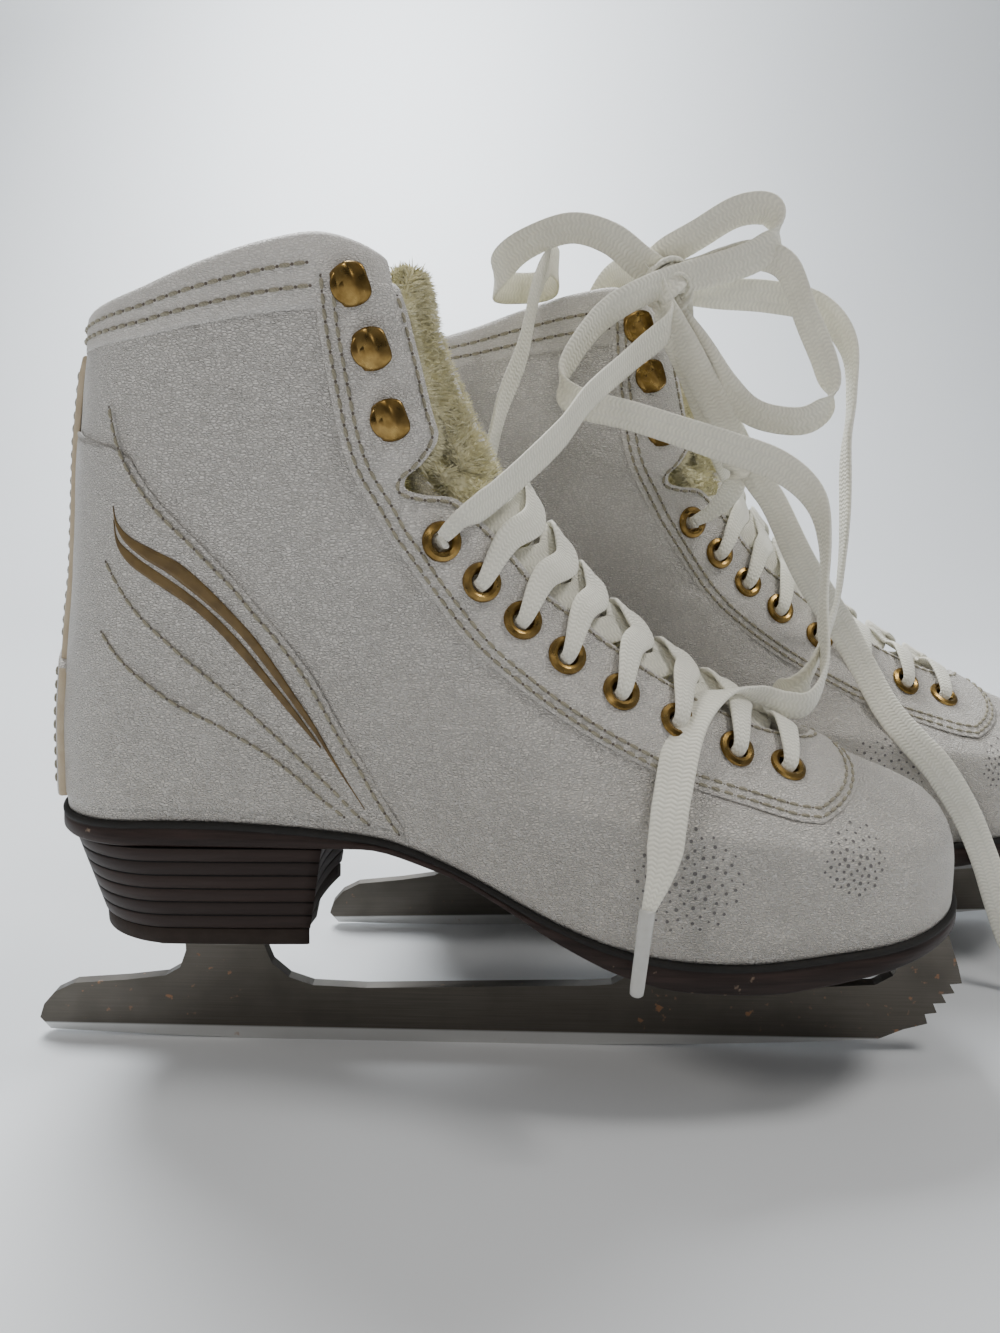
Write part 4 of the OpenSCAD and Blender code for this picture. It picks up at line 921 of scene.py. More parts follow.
def lining(foot):
    """The lining's soft body, and its pile on the inside, thicker along the top edge."""
    high = facing_point(np.arange(21), 0.06)
    low = facing_point(np.arange(21), 0.88)
    high, low = high[np.argsort(high[:, 0])], low[np.argsort(low[:, 0])]

    def reach(u):
        open_at = np.where(u > 0.8, np.interp(u, *high.T), np.interp(u, *low.T))
        return np.where(u > 0.40, open_at, mix(1, open_at, ease((u - 0.3436) / 0.06)))

    rise = mix(0.05, 0.992, crowd(70, 0.01))
    across = mix(-1, 1, crowd(80, 0.01))
    u = np.broadcast_to(rise[:, None], (len(rise), len(across)))
    t = reach(rise)[:, None] * across[None]
    keep = rise > 0.345
    u, t = u[keep], t[keep]
    amount = edge_round(u[:, 0], across, 0.5)
    puff = 0.5 * wander(spot(u, t), 9, 6) + 0.35 * wander(spot(u, t), 4, 7)
    face = skin(u, t, LINING_IN + (1 - amount) * 1.5 + puff * (amount > 0.9))
    verts, faces = shell(skin(u, t, LINING_OUT), face)
    obj = mend(build(foot + "_plush_lining", put(foot, verts), faces, [finish_of("plush")]))
    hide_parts(foot + "_lining")
    rng = np.random.default_rng(11)
    u = 1 - 0.5 * rng.uniform(0, 1, LINING_HAIRS) ** 1.7
    t = reach(u) * rng.uniform(-1, 1, LINING_HAIRS)
    root, way = skin(u, t, LINING_IN + 0.3), -outward(u, t) * 0.8
    rim, upper_rim = RIM_HAIRS, RIM_HAIRS // 3
    top = np.arange(rim) < upper_rim
    u2 = np.concatenate([np.full(upper_rim, 0.992), rng.uniform(0.74, 0.99, rim - upper_rim)])
    t2 = reach(u2) * np.where(top, rng.uniform(-1, 1, rim), np.sign(rng.uniform(-1, 1, rim)))
    root2 = skin(u2, t2, rng.uniform(LINING_IN, LINING_OUT - 0.4, rim))
    up = spot(u2, t2) - spot(u2 - 0.01, t2)
    ahead = unit(spot(u2, t2 + np.sign(t2) * 0.004) - spot(u2, t2))
    way2 = np.where(top[:, None], up / 1.5, ahead + 0.3 * outward(u2, t2))
    root, way = np.vstack([root, root2]), np.vstack([way, way2])
    way = unit(way + 0.45 * comb(root) + rng.normal(0, 0.22, way.shape))
    length = np.concatenate([np.full(LINING_HAIRS, 3.0), np.where(top, 2.6, 5.6)])[:, None]
    pile(foot + "_lining_pile", foot, root, way, rng, length, "plush", ROOT)


def tongue(foot):
    """Tongue: narrow leather over wide plush, in a laced-down part and a free flap on its body."""
    for part, rises, spread, narrow, body, top in (
            ("base", (0.38, FLAP_START - 0.006), 0.26, 0.13, ROOT, 0.0),
            ("flap", (FLAP_START, FLAP_END), FLAP_SHARE, 0.085, foot + "_tongue", 1.0)):

        def corner(rise):
            return 1 - top * FLAP_CORNER * np.clip((rise - 0.95) / 0.09, 0, 1) ** 2

        def face(rise, across):
            lean = top * FLAP_LEAN * ease((rise - FLAP_START) / (FLAP_END - FLAP_START))
            sag = (0 if top else 1) * (TONGUE_SIDE - TONGUE_MID) * ease(np.abs(across))
            return TONGUE_MID + sag + lean

        rise = mix(*rises, crowd(40, 0.012))
        across = mix(-1, 1, crowd(50, 0.02))
        u = np.broadcast_to(rise[:, None], (len(rise), len(across)))
        c = corner(rise)[:, None] * across[None]
        base = face(u, across[None])
        amount = edge_round(rise, across, 0.6)
        t = 1 + narrow * c
        dents = np.minimum(0.35 * wander(spot(u, t), 24, 8), 0) * (amount > 0.9)
        low = base - TONGUE_LEATHER
        verts, faces = shell(skin(u, t, low + TONGUE_LEATHER * amount + dents), skin(u, t, low))
        obj = mend(build(foot + "_tongue_%s_leather" % part, put(foot, verts), faces,
                         [finish_of("tongue")], body))
        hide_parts(foot + "_tongue_" + part)
        t = 1 + spread * c
        cover = ease((np.abs(t - 1) - narrow + 0.005) / 0.03)
        puff = 0.35 * wander(spot(u, t), 7, 9)
        out = mix(base - TONGUE_LEATHER - 0.1, base + 0.1, cover) + np.minimum(puff, 0)
        back = base - TONGUE_LEATHER - TONGUE_FLEECE
        middle = (out + back) / 2
        out, back = mix(middle, out, amount), mix(middle, back, amount)
        verts, faces = shell(skin(u, t, out), skin(u, t, back))
        obj = mend(build(foot + "_fleece_%s_plush" % part, put(foot, verts), faces,
                         [finish_of("plush")], body))
        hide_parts(foot + "_fleece_" + part)
        rng = np.random.default_rng(21 if top else 22)
        count = TONGUE_HAIRS
        r_, c_ = rng.uniform(*rises, count), rng.uniform(-1, 1, count)
        kind = rng.uniform(0, 1, count)
        edge, front = kind < 0.45, (kind >= 0.45) & (kind < 0.75)
        rim = (kind > 0.92) & (top > 0)
        beside = np.sign(c_) * mix(narrow / spread, 1, np.abs(c_))
        c_ = np.where(edge, np.sign(c_), np.where(front, beside, c_))
        r_ = np.where(rim, rises[1] - 0.003, r_)
        t_ = 1 + spread * c_ * corner(r_)
        outer = face(r_, c_)
        inner = outer - TONGUE_LEATHER - TONGUE_FLEECE
        lift = np.where(edge | rim, mix(outer - 0.5, inner + 0.4, rng.uniform(0, 1, count)),
                        np.where(front, outer - 0.2, inner + 0.2))
        root, n = skin(r_, t_, lift), outward(r_, t_)
        sideways = unit((spot(r_, t_ + 0.004) - spot(r_, t_)) * np.sign(c_)[:, None])
        up = unit(spot(r_ + 0.006, t_) - spot(r_, t_))
        way = np.where(edge[:, None], sideways + 0.35 * n, np.where(front[:, None], n, -n))
        way = np.where(rim[:, None], up, way)
        way = unit(way + 0.45 * comb(root) + rng.normal(0, 0.2, (count, 3)))
        pile(foot + "_tongue_pile_" + part, foot, root, way, rng, 3.0, "plush", body)


# Stitching and marks ---------------------------------------------------------------------------
def stitch_run(points, normals):
    """Stitches at even steps along a line: five rings of six points, thin and sunk at both ends."""
    s = along(points)
    count = max(int(s[-1] / STITCH_PITCH), 1)
    at = (np.arange(count) + 0.5) * s[-1] / count
    pick = lambda v, q: np.stack([np.interp(q, s, v[:, k]) for k in range(3)], -1)
    shape = np.array([[-0.5, 0.35, -0.35], [-0.32, 0.9, 0.0], [0, 1.0, 0.12],
                      [0.32, 0.9, 0.0], [0.5, 0.35, -0.35]])
    ring = at[:, None] + shape[None, :, 0] * STITCH_LENGTH
    centre = pick(points, ring.ravel()).reshape(count, 5, 3)
    n = unit(pick(normals, ring.ravel()).reshape(count, 5, 3))
    way = unit(pick(points, at + 0.5) - pick(points, at - 0.5))
    side = np.cross(way[:, None], n)
    angle = round_angles(6)[:, None]
    round_ = np.cos(angle) * side[:, :, None] + 0.8 * np.sin(angle) * n[:, :, None]
    centre = centre + n * shape[None, :, 2, None] + n * 0.1
    size = (STITCH_RADIUS * shape[None, :, 1])[..., None, None]
    verts = (centre[:, :, None] + round_ * size).reshape(-1, 3)
    one = np.array([list(f) for f in grid_faces(5, 6, 0, True)])
    faces = [list(f) for f in (one[None] + np.arange(count)[:, None, None] * 30).reshape(-1, 4)]
    # Flat dark discs at the needle holes between stitches: painted shade of the holes
    between = np.arange(count + 1) * s[-1] / count
    c, m = pick(points, between), unit(pick(normals, between))
    a = unit(np.cross(m, [0.2, 0.9, 0.3]))
    b = np.cross(m, a)
    edge = np.cos(angle) * a[:, None] + np.sin(angle) * b[:, None]
    hole = c[:, None] + HOLE_SHADE_RADIUS * edge + m[:, None] * HOLE_SHADE_LIFT
    holes = [[len(verts) + i * 6 + k for k in range(6)] for i in range(len(c))]
    return np.vstack([verts, hole.reshape(-1, 3)]), faces, holes


def stitching(foot):
    """All sewn lines of one boot in one mesh: thread first, then the flat dark discs of painted shade at the
    needle holes.
    """
    runs = []

    def run(place, lift):
        u, t = place[:, 0], place[:, 1]
        runs.append(stitch_run(skin(u, t, lift), outward(u, t)))

    shares = np.linspace(0, 1, 11)
    grid = facing_grid(shares)
    spots = spot(grid[..., 0], grid[..., 1])
    wide = np.linalg.norm(spots[:, 0] - spots[:, -1], axis=1)
    rows = np.arange(len(grid))

    def inset(distance, from_outside=True):
        share = np.clip(distance / wide, 0, 1)
        share = 1 - share if from_outside else share
        k = np.minimum((share * 10).astype(int), 9)
        f = (share * 10 - k)[:, None]
        return mix(grid[rows, k], grid[rows, k + 1], f)

    def split_run(line, lift):
        turn = line[:, 1]
        jump = np.where(np.abs(np.diff(turn)) > 0.5)[0]
        start = 0
        for j in list(jump + 1) + [len(line)]:
            if j - start > 3:
                run(line[start:j], lift)
            start = j

    for distance in (1.9, 4.6):
        split_run(inset(distance)[3:-3], facing_high(distance))
    split_run(inset(2.2, False)[3:-3], FACING)
    for seam in HEEL_SEAMS:
        line = smooth_line(seam, 8)
        place = place_at(line[:, 0], line[:, 1])
        for side in (-1, 1):
            run(place * [1, side], 0.6)
    end = facing_point(0, 1.0)[1]
    for drop, lift in ((2.4, 0.40), (5.2, 0.30)):
        turns = np.linspace(-end, end, 200) * 0.985
        run(np.column_stack([np.full(200, 1 - drop / SHAFT_HIGH), turns]), lift)
    for rises, half, lift in (((0.36, 0.91), 0.045, 1.9), ((0.05, 0.31), 0.066, 2.5)):
        for side in (-1, 1):
            u = np.linspace(*rises, 80)
            run(np.column_stack([u, np.full(80, side * half)]), lift)
    verts, thread_faces = merged((v, f) for v, f, _ in runs)
    hole_shade_faces = merged((v, h) for v, _, h in runs)[1]
    picks = [0] * len(thread_faces) + [1] * len(hole_shade_faces)
    build(foot + "_stitching", put(foot, verts), thread_faces + hole_shade_faces,
          [finish_of("thread"), finish_of("hole")], picks=picks, turn=foot == "left")


def marks(foot):
    """Two curved stripes over the heel leather, and two rings of punched dots on the vamp, drawn as flat dark
    discs of painted shade inside the punched holes.
    """
    for side in (-1, 1):
        parts = []
        for over, under in STRIPES:
            a, b = smooth_line(over, 10), smooth_line(under, 10)
            grid = mix(a[:, None], b[:, None], np.linspace(0, 1, 5)[None, :, None])
            place = place_at(grid[..., 0], grid[..., 1])
            u, t = place[..., 0], side * place[..., 1]
            parts.append(shell(skin(u, t, 0.68), skin(u, t, 0.4)))
        verts, faces = merged(parts)
        mend(build("%s_heel_stripes_%s" % (foot, "outer" if side < 0 else "inner"),
                   put(foot, verts), faces, [finish_of("stripe")]))
    dots = []
    for cx, cz, radius, count in ROSETTES:
        for k in range(count):
            away, angle = radius * math.sqrt((k + 0.5) / count), k * GOLDEN_ANGLE
            size = mix(0.62, 0.48, away / radius) * (0.8 + 0.2 * math.sin(5 * k))
            dots.append([cx + away * math.cos(angle), cz + away * math.sin(angle), size])
    # Each punched hole is a flat dark disc: painted shade inside the hole.
    dots, parts = np.array(dots), []
    angle = round_angles(8)[:, None]
    for side in (-1, 1):
        u, t = (place_at(dots[:, 0], dots[:, 1]) * [1, side]).T
        n = outward(u, t)
        c = skin(u, t, (creases(spot(u, t)) - 0.18) + 0.1)
        a = unit(np.cross(n, [0, 0, 1]))
        b = np.cross(n, a)
        edge = np.cos(angle) * a[:, None] + np.sin(angle) * b[:, None]
        ring = c[:, None] + dots[:, 2, None, None] * edge
        parts.append((ring.reshape(-1, 3), np.arange(len(dots) * 8).reshape(-1, 8).tolist()))
    verts, faces = merged(parts)
    build(foot + "_punched_hole_shade_discs", put(foot, verts), faces, [finish_of("dot_shade")])


# Sole and heel ---------------------------------------------------------------------------------
def plan(offset):
    """Outline of the boot's seat from above, and its middle line at the same lengthwise places."""
    turn = np.linspace(-1, 1, OUTLINE_POINTS + 1)[:-1]
    p, n = spot(0 * turn, turn)[:, :2], unit(outward(0 * turn, turn)[:, :2])
    line = p + n * offset
    mirror = line[-np.arange(OUTLINE_POINTS) % OUTLINE_POINTS]
    return line, (line + mirror) / 2


def slab(name, foot, profile, materials, picks):
    """A closed slab: rings of the outline, each with an inset, a share to the middle, a height."""
    rings = []
    for offset, share, height in profile:
        line, middle = plan(offset)
        xy = mix(line, middle, share)
        rings.append(np.column_stack([xy, height(xy[:, 0])]))
    rings = np.stack(rings)
    verts = rings.reshape(-1, 3)
    faces = grid_faces(len(rings), rings.shape[1], 0, True)
    index = np.repeat(picks, rings.shape[1])
    return mend(build(name, put(foot, verts), faces, materials, picks=index), 2e-5)


def sole(foot):
    """The dark outsole with its black line under the upper, the stacked heel and its rubber tip."""
    top = lambda drop: (lambda x: seat_z(x) - drop)
    low = lambda lift: (lambda x: np.minimum(sole_z(x) + lift, seat_z(x) - 1))
    profile = [
        (-2, 1, top(0.1)), (-2, 0.5, top(0.1)), (-1, 0, top(0.05)), (0.5, 0, top(0.0)),
        (1.3, 0, top(0.25)), (1.5, 0, top(0.8)), (1.45, 0, top(1.5)), (0.9, 0, top(1.9)),
        (1.4, 0, top(2.3)), (1.5, 0, low(2.0)), (1.5, 0, low(0.8)), (1.1, 0, low(0.2)),
        (0, 0, low(0)), (-12, 0.3, low(0)), (-12, 0.7, low(0)), (-12, 1, low(0))]
    finishes = [finish_of("sole"), finish_of("line")]
    obj = slab(foot + "_outsole_body", foot, profile, finishes, [1] * 7 + [0] * 8)
    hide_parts(foot + "_outsole")

    def outline(share):
        rear, breast, w = mix(10, 1.5, share), mix(72, 77, share), mix(25.5, 29.5, share)
        a = np.radians(np.linspace(90, 270, 40))
        arc = np.column_stack([rear + w + w * np.cos(a), w * np.sin(a)])
        side = np.linspace(0, 1, 14)[1:-1]
        lower = np.column_stack([mix(arc[-1, 0], breast, side), -w * mix(1, 0.96, side ** 2)])
        corner = 0.96 * w
        y = np.linspace(-corner, corner, 21)
        front = np.column_stack([breast - 3 * (1 - (y / corner) ** 2), y])
        upper_ = lower[::-1] * [1, -1]
        return np.vstack([arc, lower, front, upper_])

    step = (HEEL_TOP - HEEL_LOW - TOP_LIFT) / LIFTS
    rings = []
    for i in range(LIFTS):
        z = HEEL_LOW + TOP_LIFT + i * step
        for lift, inset in ((0.02, 0.992), (0.3, 1.0), (step - 0.3, 1.0), (step - 0.02, 0.992)):
            ring = outline(mix(0.15, 1, (i + lift / step) / LIFTS))
            rings.append(np.column_stack([mix(ring.mean(0), ring, inset), np.full(len(ring), z + lift)]))
    stack = np.stack(rings)
    verts, faces = tube(stack[:, ::-1])
    obj = mend(build(foot + "_heel_stack", put(foot, verts), faces, [finish_of("heel")]))
    flat_caps(obj)
    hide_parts(foot + "_heel_lifts")
    ring = outline(0.08)
    middle = ring.mean(0)
    rings = [np.column_stack([mix(middle, ring, s), np.full(len(ring), HEEL_LOW + z)])
             for z, s in ((0, 0.975), (0.5, 1.0), (TOP_LIFT - 0.5, 1.003), (TOP_LIFT - 0.1, 0.99))]
    verts, faces = tube(np.stack(rings)[:, ::-1])
    obj = mend(build(foot + "_heel_tip", put(foot, verts), faces, [finish_of("rubber")]))
    flat_caps(obj)
    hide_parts(foot + "_top_lift")


def flat_caps(obj):
    """The many-sided end faces stay flat."""
    for p in obj.data.polygons:
        if len(p.vertices) > 4:
            p.use_smooth = False


# Laces -----------------------------------------------------------------------------------------
def lacing_stations():
    """Stations of the held lacing, each a rise, a turn, an offset and a width."""
    spots, over, under = (place_at(*line.T) for line in (EYELETS, LACE_OVER, LACE_UNDER))
    wide, bore = LACE_WIDTH, EYELET_BORE - 1.2

    def eyelet(i, side):
        return spots[i, 0], side * spots[i, 1]

    def crossing(i, side):
        (u, t), middle = eyelet(i, side), (LACE_TOPS[i] + LACE_TOPS[i - 1]) / 2
        (u1, t1), (u2, t2), high = over[i], under[i - 1], (-1.3 if side > 0 else 0.5)
        return [
            (u, t, -LEATHER - 2.3, bore), (u, t, FACING + 1.9, bore),
            (u1, side * t1, FACING + 2.1, 0.85 * wide),
            (mix(u1, middle, 0.5), side * mix(t1, 1, 0.5), high + 0.6, wide), (middle, side, high, wide),
            (mix(middle, u2, 0.5), -side * mix(1, t2, 0.5), -2.6, wide),
            (u2, -side * t2, -LEATHER - 1.9, 0.85 * wide)]

    def run(side):
        out = []
        for k in range(7, 0, -1):
            out += crossing(k, side if (7 - k) % 2 == 0 else -side)
        u, t = eyelet(0, -side)
        return out + [(u, t, -LEATHER - 2.3, bore), (u, t, FACING + 1.9, bore)]

    def mouth(side):
        return (spots[7, 0] + 0.012, side * mix(spots[7, 1], 1, 0.5), -LEATHER - 1.6, 0.85 * wide)

    first = run(1)[::-1]
    toe_end = [mouth(1), (mouth(1)[0], 1, -LEATHER - 0.2, wide), mouth(-1)]
    return np.array(first + toe_end + run(-1))


def held_lacing(foot):
    """The crossed lacing: one flat strip through all the eyelets, round the toe end."""
    q = lacing_stations()
    points = skin(q[:, 0], q[:, 1], q[:, 2])
    across = spot(np.minimum(q[:, 0] + 0.01, 1), q[:, 1]) - spot(q[:, 0] - 0.01, q[:, 1])
    both = smooth_line(np.hstack([points, across, q[:, 3:]]), 7)
    width = np.clip(both[:, 6], 3.4, LACE_WIDTH)
    rings, uv = ribbon(both[:, :3], both[:, 3:6], width, LACE_THICK * 0.95)
    verts, faces = tube(rings)
    obj = build(foot + "_crossed_lace", put(foot, verts), faces, [finish_of("lace")], uv=uv,
                turn=foot == "left")
    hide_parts(foot + "_lacing")


def free_lace(name, route):
    """A free lace end: a flat strip along its route, folded narrow into its tip."""
    line = smooth_line(route[:-1], 7)
    way = unit(np.gradient(line, axis=0))
    across = np.cross(way, np.cross(way, LACE_FACE))
    if name in LACE_TURNS:
        first, face = LACE_TURNS[name]
        share = ease((np.arange(len(line)) / 7 - first) / 3)[:, None]
        flat = np.cross(way, np.cross(way, face))
        flat *= np.sign((flat[7 * first + 14] * across[7 * first + 14]).sum()) or 1
        across = mix(across, flat, share)
    for _ in range(6):
        across[1:-1] = (across[:-2] + 2 * across[1:-1] + across[2:]) / 4
    s = along(line)
    wide = np.interp(s, [0, 6, 14, s[-1] - 16, s[-1]], [4.2, 6, FREE_WIDTH, FREE_WIDTH, 3.3])
    thick = np.interp(s, [0, s[-1] - 12, s[-1]], [LACE_THICK, LACE_THICK, 3.0])
    wide = wide * (1 - 0.05 * (np.sin(s / 11) + 1))
    rings, uv = ribbon(line, across, wide, thick, 0.25)
    verts, faces = tube(rings)
    lace = build(name + "_woven", verts, faces, [finish_of("lace")], uv=uv)
    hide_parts(name)
    end, tip = np.array(route[-2], float), np.array(route[-1], float)
    aim = unit(tip - end)
    a = unit(np.cross(aim, [0.3, 0.9, 0.1]))
    angle = round_angles(20)[:, None]
    circle = np.cos(angle) * a + np.sin(angle) * np.cross(aim, a)
    rings = np.stack([end + aim * z + r * circle for z, r in (
        (-1.2, 1.6), (-0.9, 1.95), (0.4, 2.0), (5, 1.92), (12, 1.86), (19, 1.8),
        (AGLET_LENGTH - 0.5, 1.7), (AGLET_LENGTH, 1.2))])
    verts, faces = tube(rings[:, ::-1])
    tip_obj = mend(build(name + "_tip", verts, faces, [finish_of("aglet")]))
    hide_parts("aglets")


def knot():
    """The bow's knot: three short bands of lace, looped round the same centre."""
    parts, uvs = [], []
    angle = np.linspace(0, 2 * np.pi, 60)
    cs, sn = np.cos(angle), np.sin(angle)
    for k, (turn, size, wide) in enumerate(KNOT_BANDS):
        spin = np.array((Matrix.Rotation(turn[0], 3, "X") @ Matrix.Rotation(turn[1], 3, "Y")
                         @ Matrix.Rotation(turn[2], 3, "Z")))
        loop = np.column_stack([size[0] * cs, 0.9 * np.sin(2 * angle + k), size[1] * sn])
        axis = np.tile([[0.0, 1.0, 0.0]], (60, 1)) + 0.25 * np.column_stack([sn, 0 * angle, cs])
        rings, uv = ribbon(loop @ spin.T, axis @ spin.T, wide, LACE_THICK, 0.4)
        v, f = tube(rings)
        parts.append((v + KNOT_CENTRE, f))
        uvs.append(uv)
    obj = build("bow_knot_cloth", *merged(parts), [finish_of("lace")], uv=np.vstack(uvs))
    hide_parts("bow_knot")


def hooks(foot):
    """Lacing hooks: a shell that rises from the leather to a lip, its front edge cut in a hollow."""
    spots = place_at(*HOOKS.T)
    rho, phi = np.meshgrid(np.linspace(0, 1, 9), round_angles(48), indexing="ij")
    turned = np.abs(np.angle(np.exp(1j * phi)))
    reach = HOOK_CAP * (1 - 0.24 * np.cos(np.clip(turned / 0.85, 0, 1) * np.pi / 2) ** 1.4)
    a, b = rho * reach * np.cos(phi), rho * reach * np.sin(phi)
    dip = 1.5 * (rho ** 2.4) * (1 - 0.75 * np.exp(-(turned / 0.7) ** 2))
    rise = 1.4 + 4.0 * ease((a / HOOK_CAP + 1.0) / 1.15) - dip
    curl = 0.3 * np.exp(-((turned - 0.75) / 0.3) ** 2) * rho ** 6
    n9 = rho.size
    top, low = grid_faces(9, 48, 0, True), grid_faces(9, 48, n9, True)[:, ::-1]
    rim = np.arange(8 * 48, n9)
    nxt = np.roll(rim, -1)
    wall = np.stack([rim, nxt, nxt + n9, rim + n9], -1)
    parts, cap_faces = [], np.vstack([top, low, wall]).tolist()
    cs, sn = np.cos(phi[0])[:, None], np.sin(phi[0])[:, None]
    for (u, t), (x, z) in zip(spots, HOOKS):
        for side in (-1, 1):
            centre, n = spot(u, side * t), outward(u, side * t)
            ahead = place_at(x + 4, z + 1.6)
            ahead = spot(ahead[0], side * ahead[1]) - centre
            ahead = unit(ahead - (ahead @ n) * n)
            over = np.cross(n, ahead)
            flat = centre + a[..., None] * ahead + b[..., None] * over
            cap = np.stack([flat + (rise + curl - low)[..., None] * n for low in (0, 0.75)])
            base = np.stack([centre + n * h + r * (cs * ahead + sn * over) for h, r in HOOK_FOOT])
            parts += [(cap.reshape(-1, 3), cap_faces), tube(base, False)]
    verts, faces = merged(parts)
    obj = mend(build(foot + "_hook_shells", put(foot, verts), faces, [finish_of("brass")]), 3e-5)
    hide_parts(foot + "_hooks")


def finish_nodes():
    """Better finishes for the hard pieces that the frame brings."""
    for foot in FEET:
        for node, finish in (("blade", "blade"), ("heel_plate", "plates"), ("sole_plate", "plates"),
                             ("plate_screws", "screws"), ("eyelets", "brass"),
                             ("insole", "sock"), ("insole_board", "board"), ("shank", "plates"),
                             ("heel_stiffener", "board"), ("toe_puff", "board")):
            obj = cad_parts[foot + "_" + node]
            if not obj.material_slots:
                obj.data.materials.append(finish_of(finish))
            for slot in obj.material_slots:
                slot.material = finish_of(finish)


# Stage -------------------------------------------------------------------------------------------
SENSOR, LENS_SHARE = 36, 1100 / 1333
CAMERA_AT, CAMERA_TURN = (-0.0385, -0.348, 0.1729), (90 - 10.87, -0.3, -0.3)
ROOM_HALF, WALL_TOP, WALL_NEAR = 4200, 4200, -2500
AIR_COLOUR, AIR_STRENGTH = (0.93, 0.96, 1.0, 1), 0.27
# Each light: its place, what it points at, its size, its power and its colour
LIGHTS = {
    "key": ((-0.4, 0.75, 1.45), (0, 0, 0.15), 0.8, 34, (0.95, 0.98, 1.0)),
    "side": ((-1.0, -0.75, 1.25), (0, 0, 0.15), 0.4, 5.5, (1.0, 0.96, 0.90)),
    "wall": ((-0.25, 0.95, 0.95), (-0.2, 1.6, 0.8), 0.5, 13, (0.93, 0.97, 1.0)),
    "top": ((0.5, -0.12, 0.95), (0.05, 0.03, 0.2), 0.25, 3.5, (1.0, 0.98, 0.95)),
    "near": ((0.2, -1.7, 1.0), (0, -0.9, 0), 0.6, 4, (1.0, 0.97, 0.95)),
}


def area_light(name, at, aim, size, power, colour):
    data = bpy.data.lights.new(name, "AREA")
    data.shape, data.size, data.energy, data.color = "DISK", size, power, colour
    obj = bpy.data.objects.new(name, data)
    obj.location = at
    obj.rotation_euler = (Vector(aim) - Vector(at)).to_track_quat("-Z", "Y").to_euler()
    bpy.context.scene.collection.objects.link(obj)


def camera():
    data = bpy.data.cameras.new("camera")
    data.sensor_fit, data.sensor_width, data.lens = "AUTO", SENSOR, SENSOR * LENS_SHARE
    data.clip_start, data.clip_end = 0.01, 30
    obj = bpy.data.objects.new("camera", data)
    obj.location = CAMERA_AT
    obj.rotation_euler = [math.radians(a) for a in CAMERA_TURN]
    bpy.context.scene.collection.objects.link(obj)
    bpy.context.scene.camera = obj


def stage():
    """Pale floor that curves up into a pale wall, soft lights from the upper left and all round."""
    a = np.radians(np.linspace(0, 90, 24))
    bend = np.column_stack([700 + 900 * np.sin(a), 900 - 900 * np.cos(a)])
    curve = np.concatenate([[[-2600, 0]], bend, [[1600, WALL_TOP]]])
    x = np.linspace(-ROOM_HALF, ROOM_HALF, 12)[:, None]
    points = np.stack(np.broadcast_arrays(x, curve[None, :, 0], curve[None, :, 1]), -1)
    floor = build("floor", points.reshape(-1, 3), grid_faces(12, len(curve)), [finish_of("floor")])
    corners = [(-ROOM_HALF, 0), (ROOM_HALF, 0), (ROOM_HALF, WALL_TOP), (-ROOM_HALF, WALL_TOP)]
    shade = build("dark_wall", [(x, WALL_NEAR, z) for x, z in corners], [[0, 3, 2, 1]],
                  [finish_of("shade")])
    world = bpy.data.worlds.new("soft_room")
    world.use_nodes = True
    air = world.node_tree.nodes["Background"]
    air.inputs[0].default_value, air.inputs[1].default_value = AIR_COLOUR, AIR_STRENGTH
    bpy.context.scene.world = world
    for name, light in LIGHTS.items():
        area_light(name, *light)


# Add-on ------------------------------------------------------------------------------------------
def colour(name, description, default):
    return FloatVectorProperty(name=name, description=description, default=default,
                               subtype="COLOR", min=0, max=1)


class SkateSettings(bpy.types.PropertyGroup):
    leather: colour("Leather", "Colour of the white leather", (0.83, 0.80, 0.755))
    plush: colour("Plush", "Colour of the lining's pile", (0.95, 0.90, 0.62))
    lace: colour("Lace", "Colour of the laces", (0.95, 0.93, 0.81))
    thread: colour("Thread", "Colour of the sewing thread", (0.36, 0.33, 0.24))
    sole: colour("Sole", "Stain of the sole and the heel", (0.032, 0.020, 0.017))
    steel: colour("Steel", "Colour of the blades", (0.135, 0.122, 0.105))
    brass: colour("Brass", "Colour of eyelets and hooks", (0.34, 0.225, 0.075))
    stripe: colour("Stripe", "Colour of the heel stripes", (0.16, 0.10, 0.028))
    floor: colour("Floor", "Colour of the floor and the wall", (0.80, 0.82, 0.84))


class SKATES_OT_laces(bpy.types.Operator):
    """Builds the four free lace ends with their tips, and the knot of the bow"""
    bl_idname, bl_label = "skates.laces", "Free Laces"

    def execute(self, context):
        for name, route in ROUTES.items():
            free_lace(name, route)
        knot()
        return {"FINISHED"}


def for_feet(make):
    def execute(self, context):
        for foot in FEET:
            make(foot)
        return {"FINISHED"}
    return execute


class SKATES_OT_upper(bpy.types.Operator):
    """Builds the leather uppers"""
    bl_idname, bl_label = "skates.upper", "Uppers"
    execute = for_feet(upper)


class SKATES_OT_facing(bpy.types.Operator):
    """Builds the facings with their eyelet holes"""
    bl_idname, bl_label = "skates.facing", "Facings"
    execute = for_feet(facing)


class SKATES_OT_collar(bpy.types.Operator):
    """Builds the folded collar edges"""
    bl_idname, bl_label = "skates.collar", "Collar Edges"
    execute = for_feet(binding)


class SKATES_OT_heel_leather(bpy.types.Operator):
    """Builds the heel leather and the back strips"""
    bl_idname, bl_label = "skates.heel_leather", "Heel Leather"
    execute = for_feet(heel_leather)


class SKATES_OT_lining(bpy.types.Operator):
    """Builds the plush linings"""
    bl_idname, bl_label = "skates.lining", "Linings"
    execute = for_feet(lining)


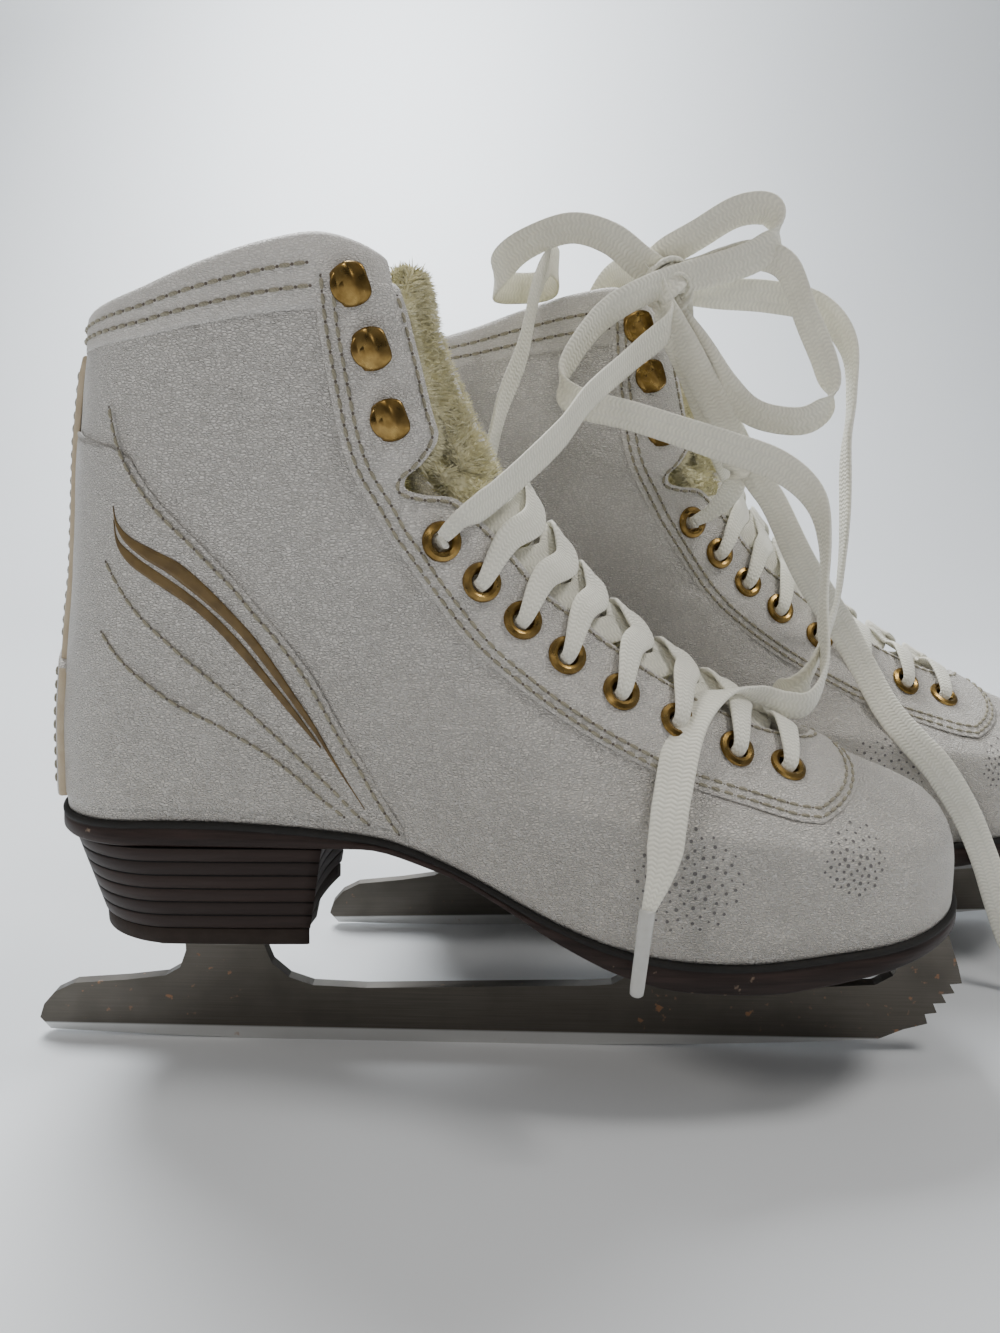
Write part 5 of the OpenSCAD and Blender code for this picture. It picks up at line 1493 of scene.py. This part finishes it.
class SKATES_OT_tongue(bpy.types.Operator):
    """Builds the tongues with their free flaps"""
    bl_idname, bl_label = "skates.tongue", "Tongues"
    execute = for_feet(tongue)


class SKATES_OT_stitching(bpy.types.Operator):
    """Builds the sewn lines"""
    bl_idname, bl_label = "skates.stitching", "Stitching"
    execute = for_feet(stitching)


class SKATES_OT_marks(bpy.types.Operator):
    """Builds the heel stripes and the punched dots"""
    bl_idname, bl_label = "skates.marks", "Stripes and Dots"
    execute = for_feet(marks)


class SKATES_OT_sole(bpy.types.Operator):
    """Builds the soles and the stacked heels"""
    bl_idname, bl_label = "skates.sole", "Soles and Heels"
    execute = for_feet(sole)


class SKATES_OT_lacing(bpy.types.Operator):
    """Builds the crossed lacing through the eyelets"""
    bl_idname, bl_label = "skates.lacing", "Crossed Lacing"
    execute = for_feet(held_lacing)


class SKATES_OT_hooks(bpy.types.Operator):
    """Builds the lacing hooks"""
    bl_idname, bl_label = "skates.hooks", "Lacing Hooks"
    execute = for_feet(hooks)


class SKATES_OT_hardware(bpy.types.Operator):
    """Gives the blades, plates, screws, eyelets and inner pieces their finishes"""
    bl_idname, bl_label = "skates.hardware", "Hardware Finishes"

    def execute(self, context):
        finish_nodes()
        return {"FINISHED"}


class SKATES_OT_stage(bpy.types.Operator):
    """Builds the floor, the lights and the camera"""
    bl_idname, bl_label = "skates.stage", "Stage"

    def execute(self, context):
        camera()
        stage()
        return {"FINISHED"}


OPERATORS = (
    SKATES_OT_stage, SKATES_OT_laces, SKATES_OT_upper, SKATES_OT_facing, SKATES_OT_collar,
    SKATES_OT_heel_leather, SKATES_OT_lining, SKATES_OT_tongue, SKATES_OT_stitching,
    SKATES_OT_marks, SKATES_OT_sole, SKATES_OT_lacing, SKATES_OT_hooks, SKATES_OT_hardware)


class SKATES_PT_panel(bpy.types.Panel):
    """Lists the skates' settings and pieces"""
    bl_idname, bl_label = "SKATES_PT_panel", "Skates"
    bl_space_type, bl_region_type, bl_category = "VIEW_3D", "UI", "Skates"

    def draw(self, context):
        for name in SkateSettings.__annotations__:
            self.layout.prop(context.scene.skates, name)
        for operator in OPERATORS:
            self.layout.operator(operator.bl_idname)


CLASSES = (SkateSettings, *OPERATORS, SKATES_PT_panel)


def register():
    for cls in CLASSES:
        bpy.utils.register_class(cls)
    bpy.types.Scene.skates = PointerProperty(type=SkateSettings)


def unregister():
    del bpy.types.Scene.skates
    for cls in reversed(CLASSES):
        bpy.utils.unregister_class(cls)


def main():
    register()
    for operator in OPERATORS:
        getattr(bpy.ops.skates, operator.bl_idname.split(".")[1])()


if __name__ == "__main__":
    main()
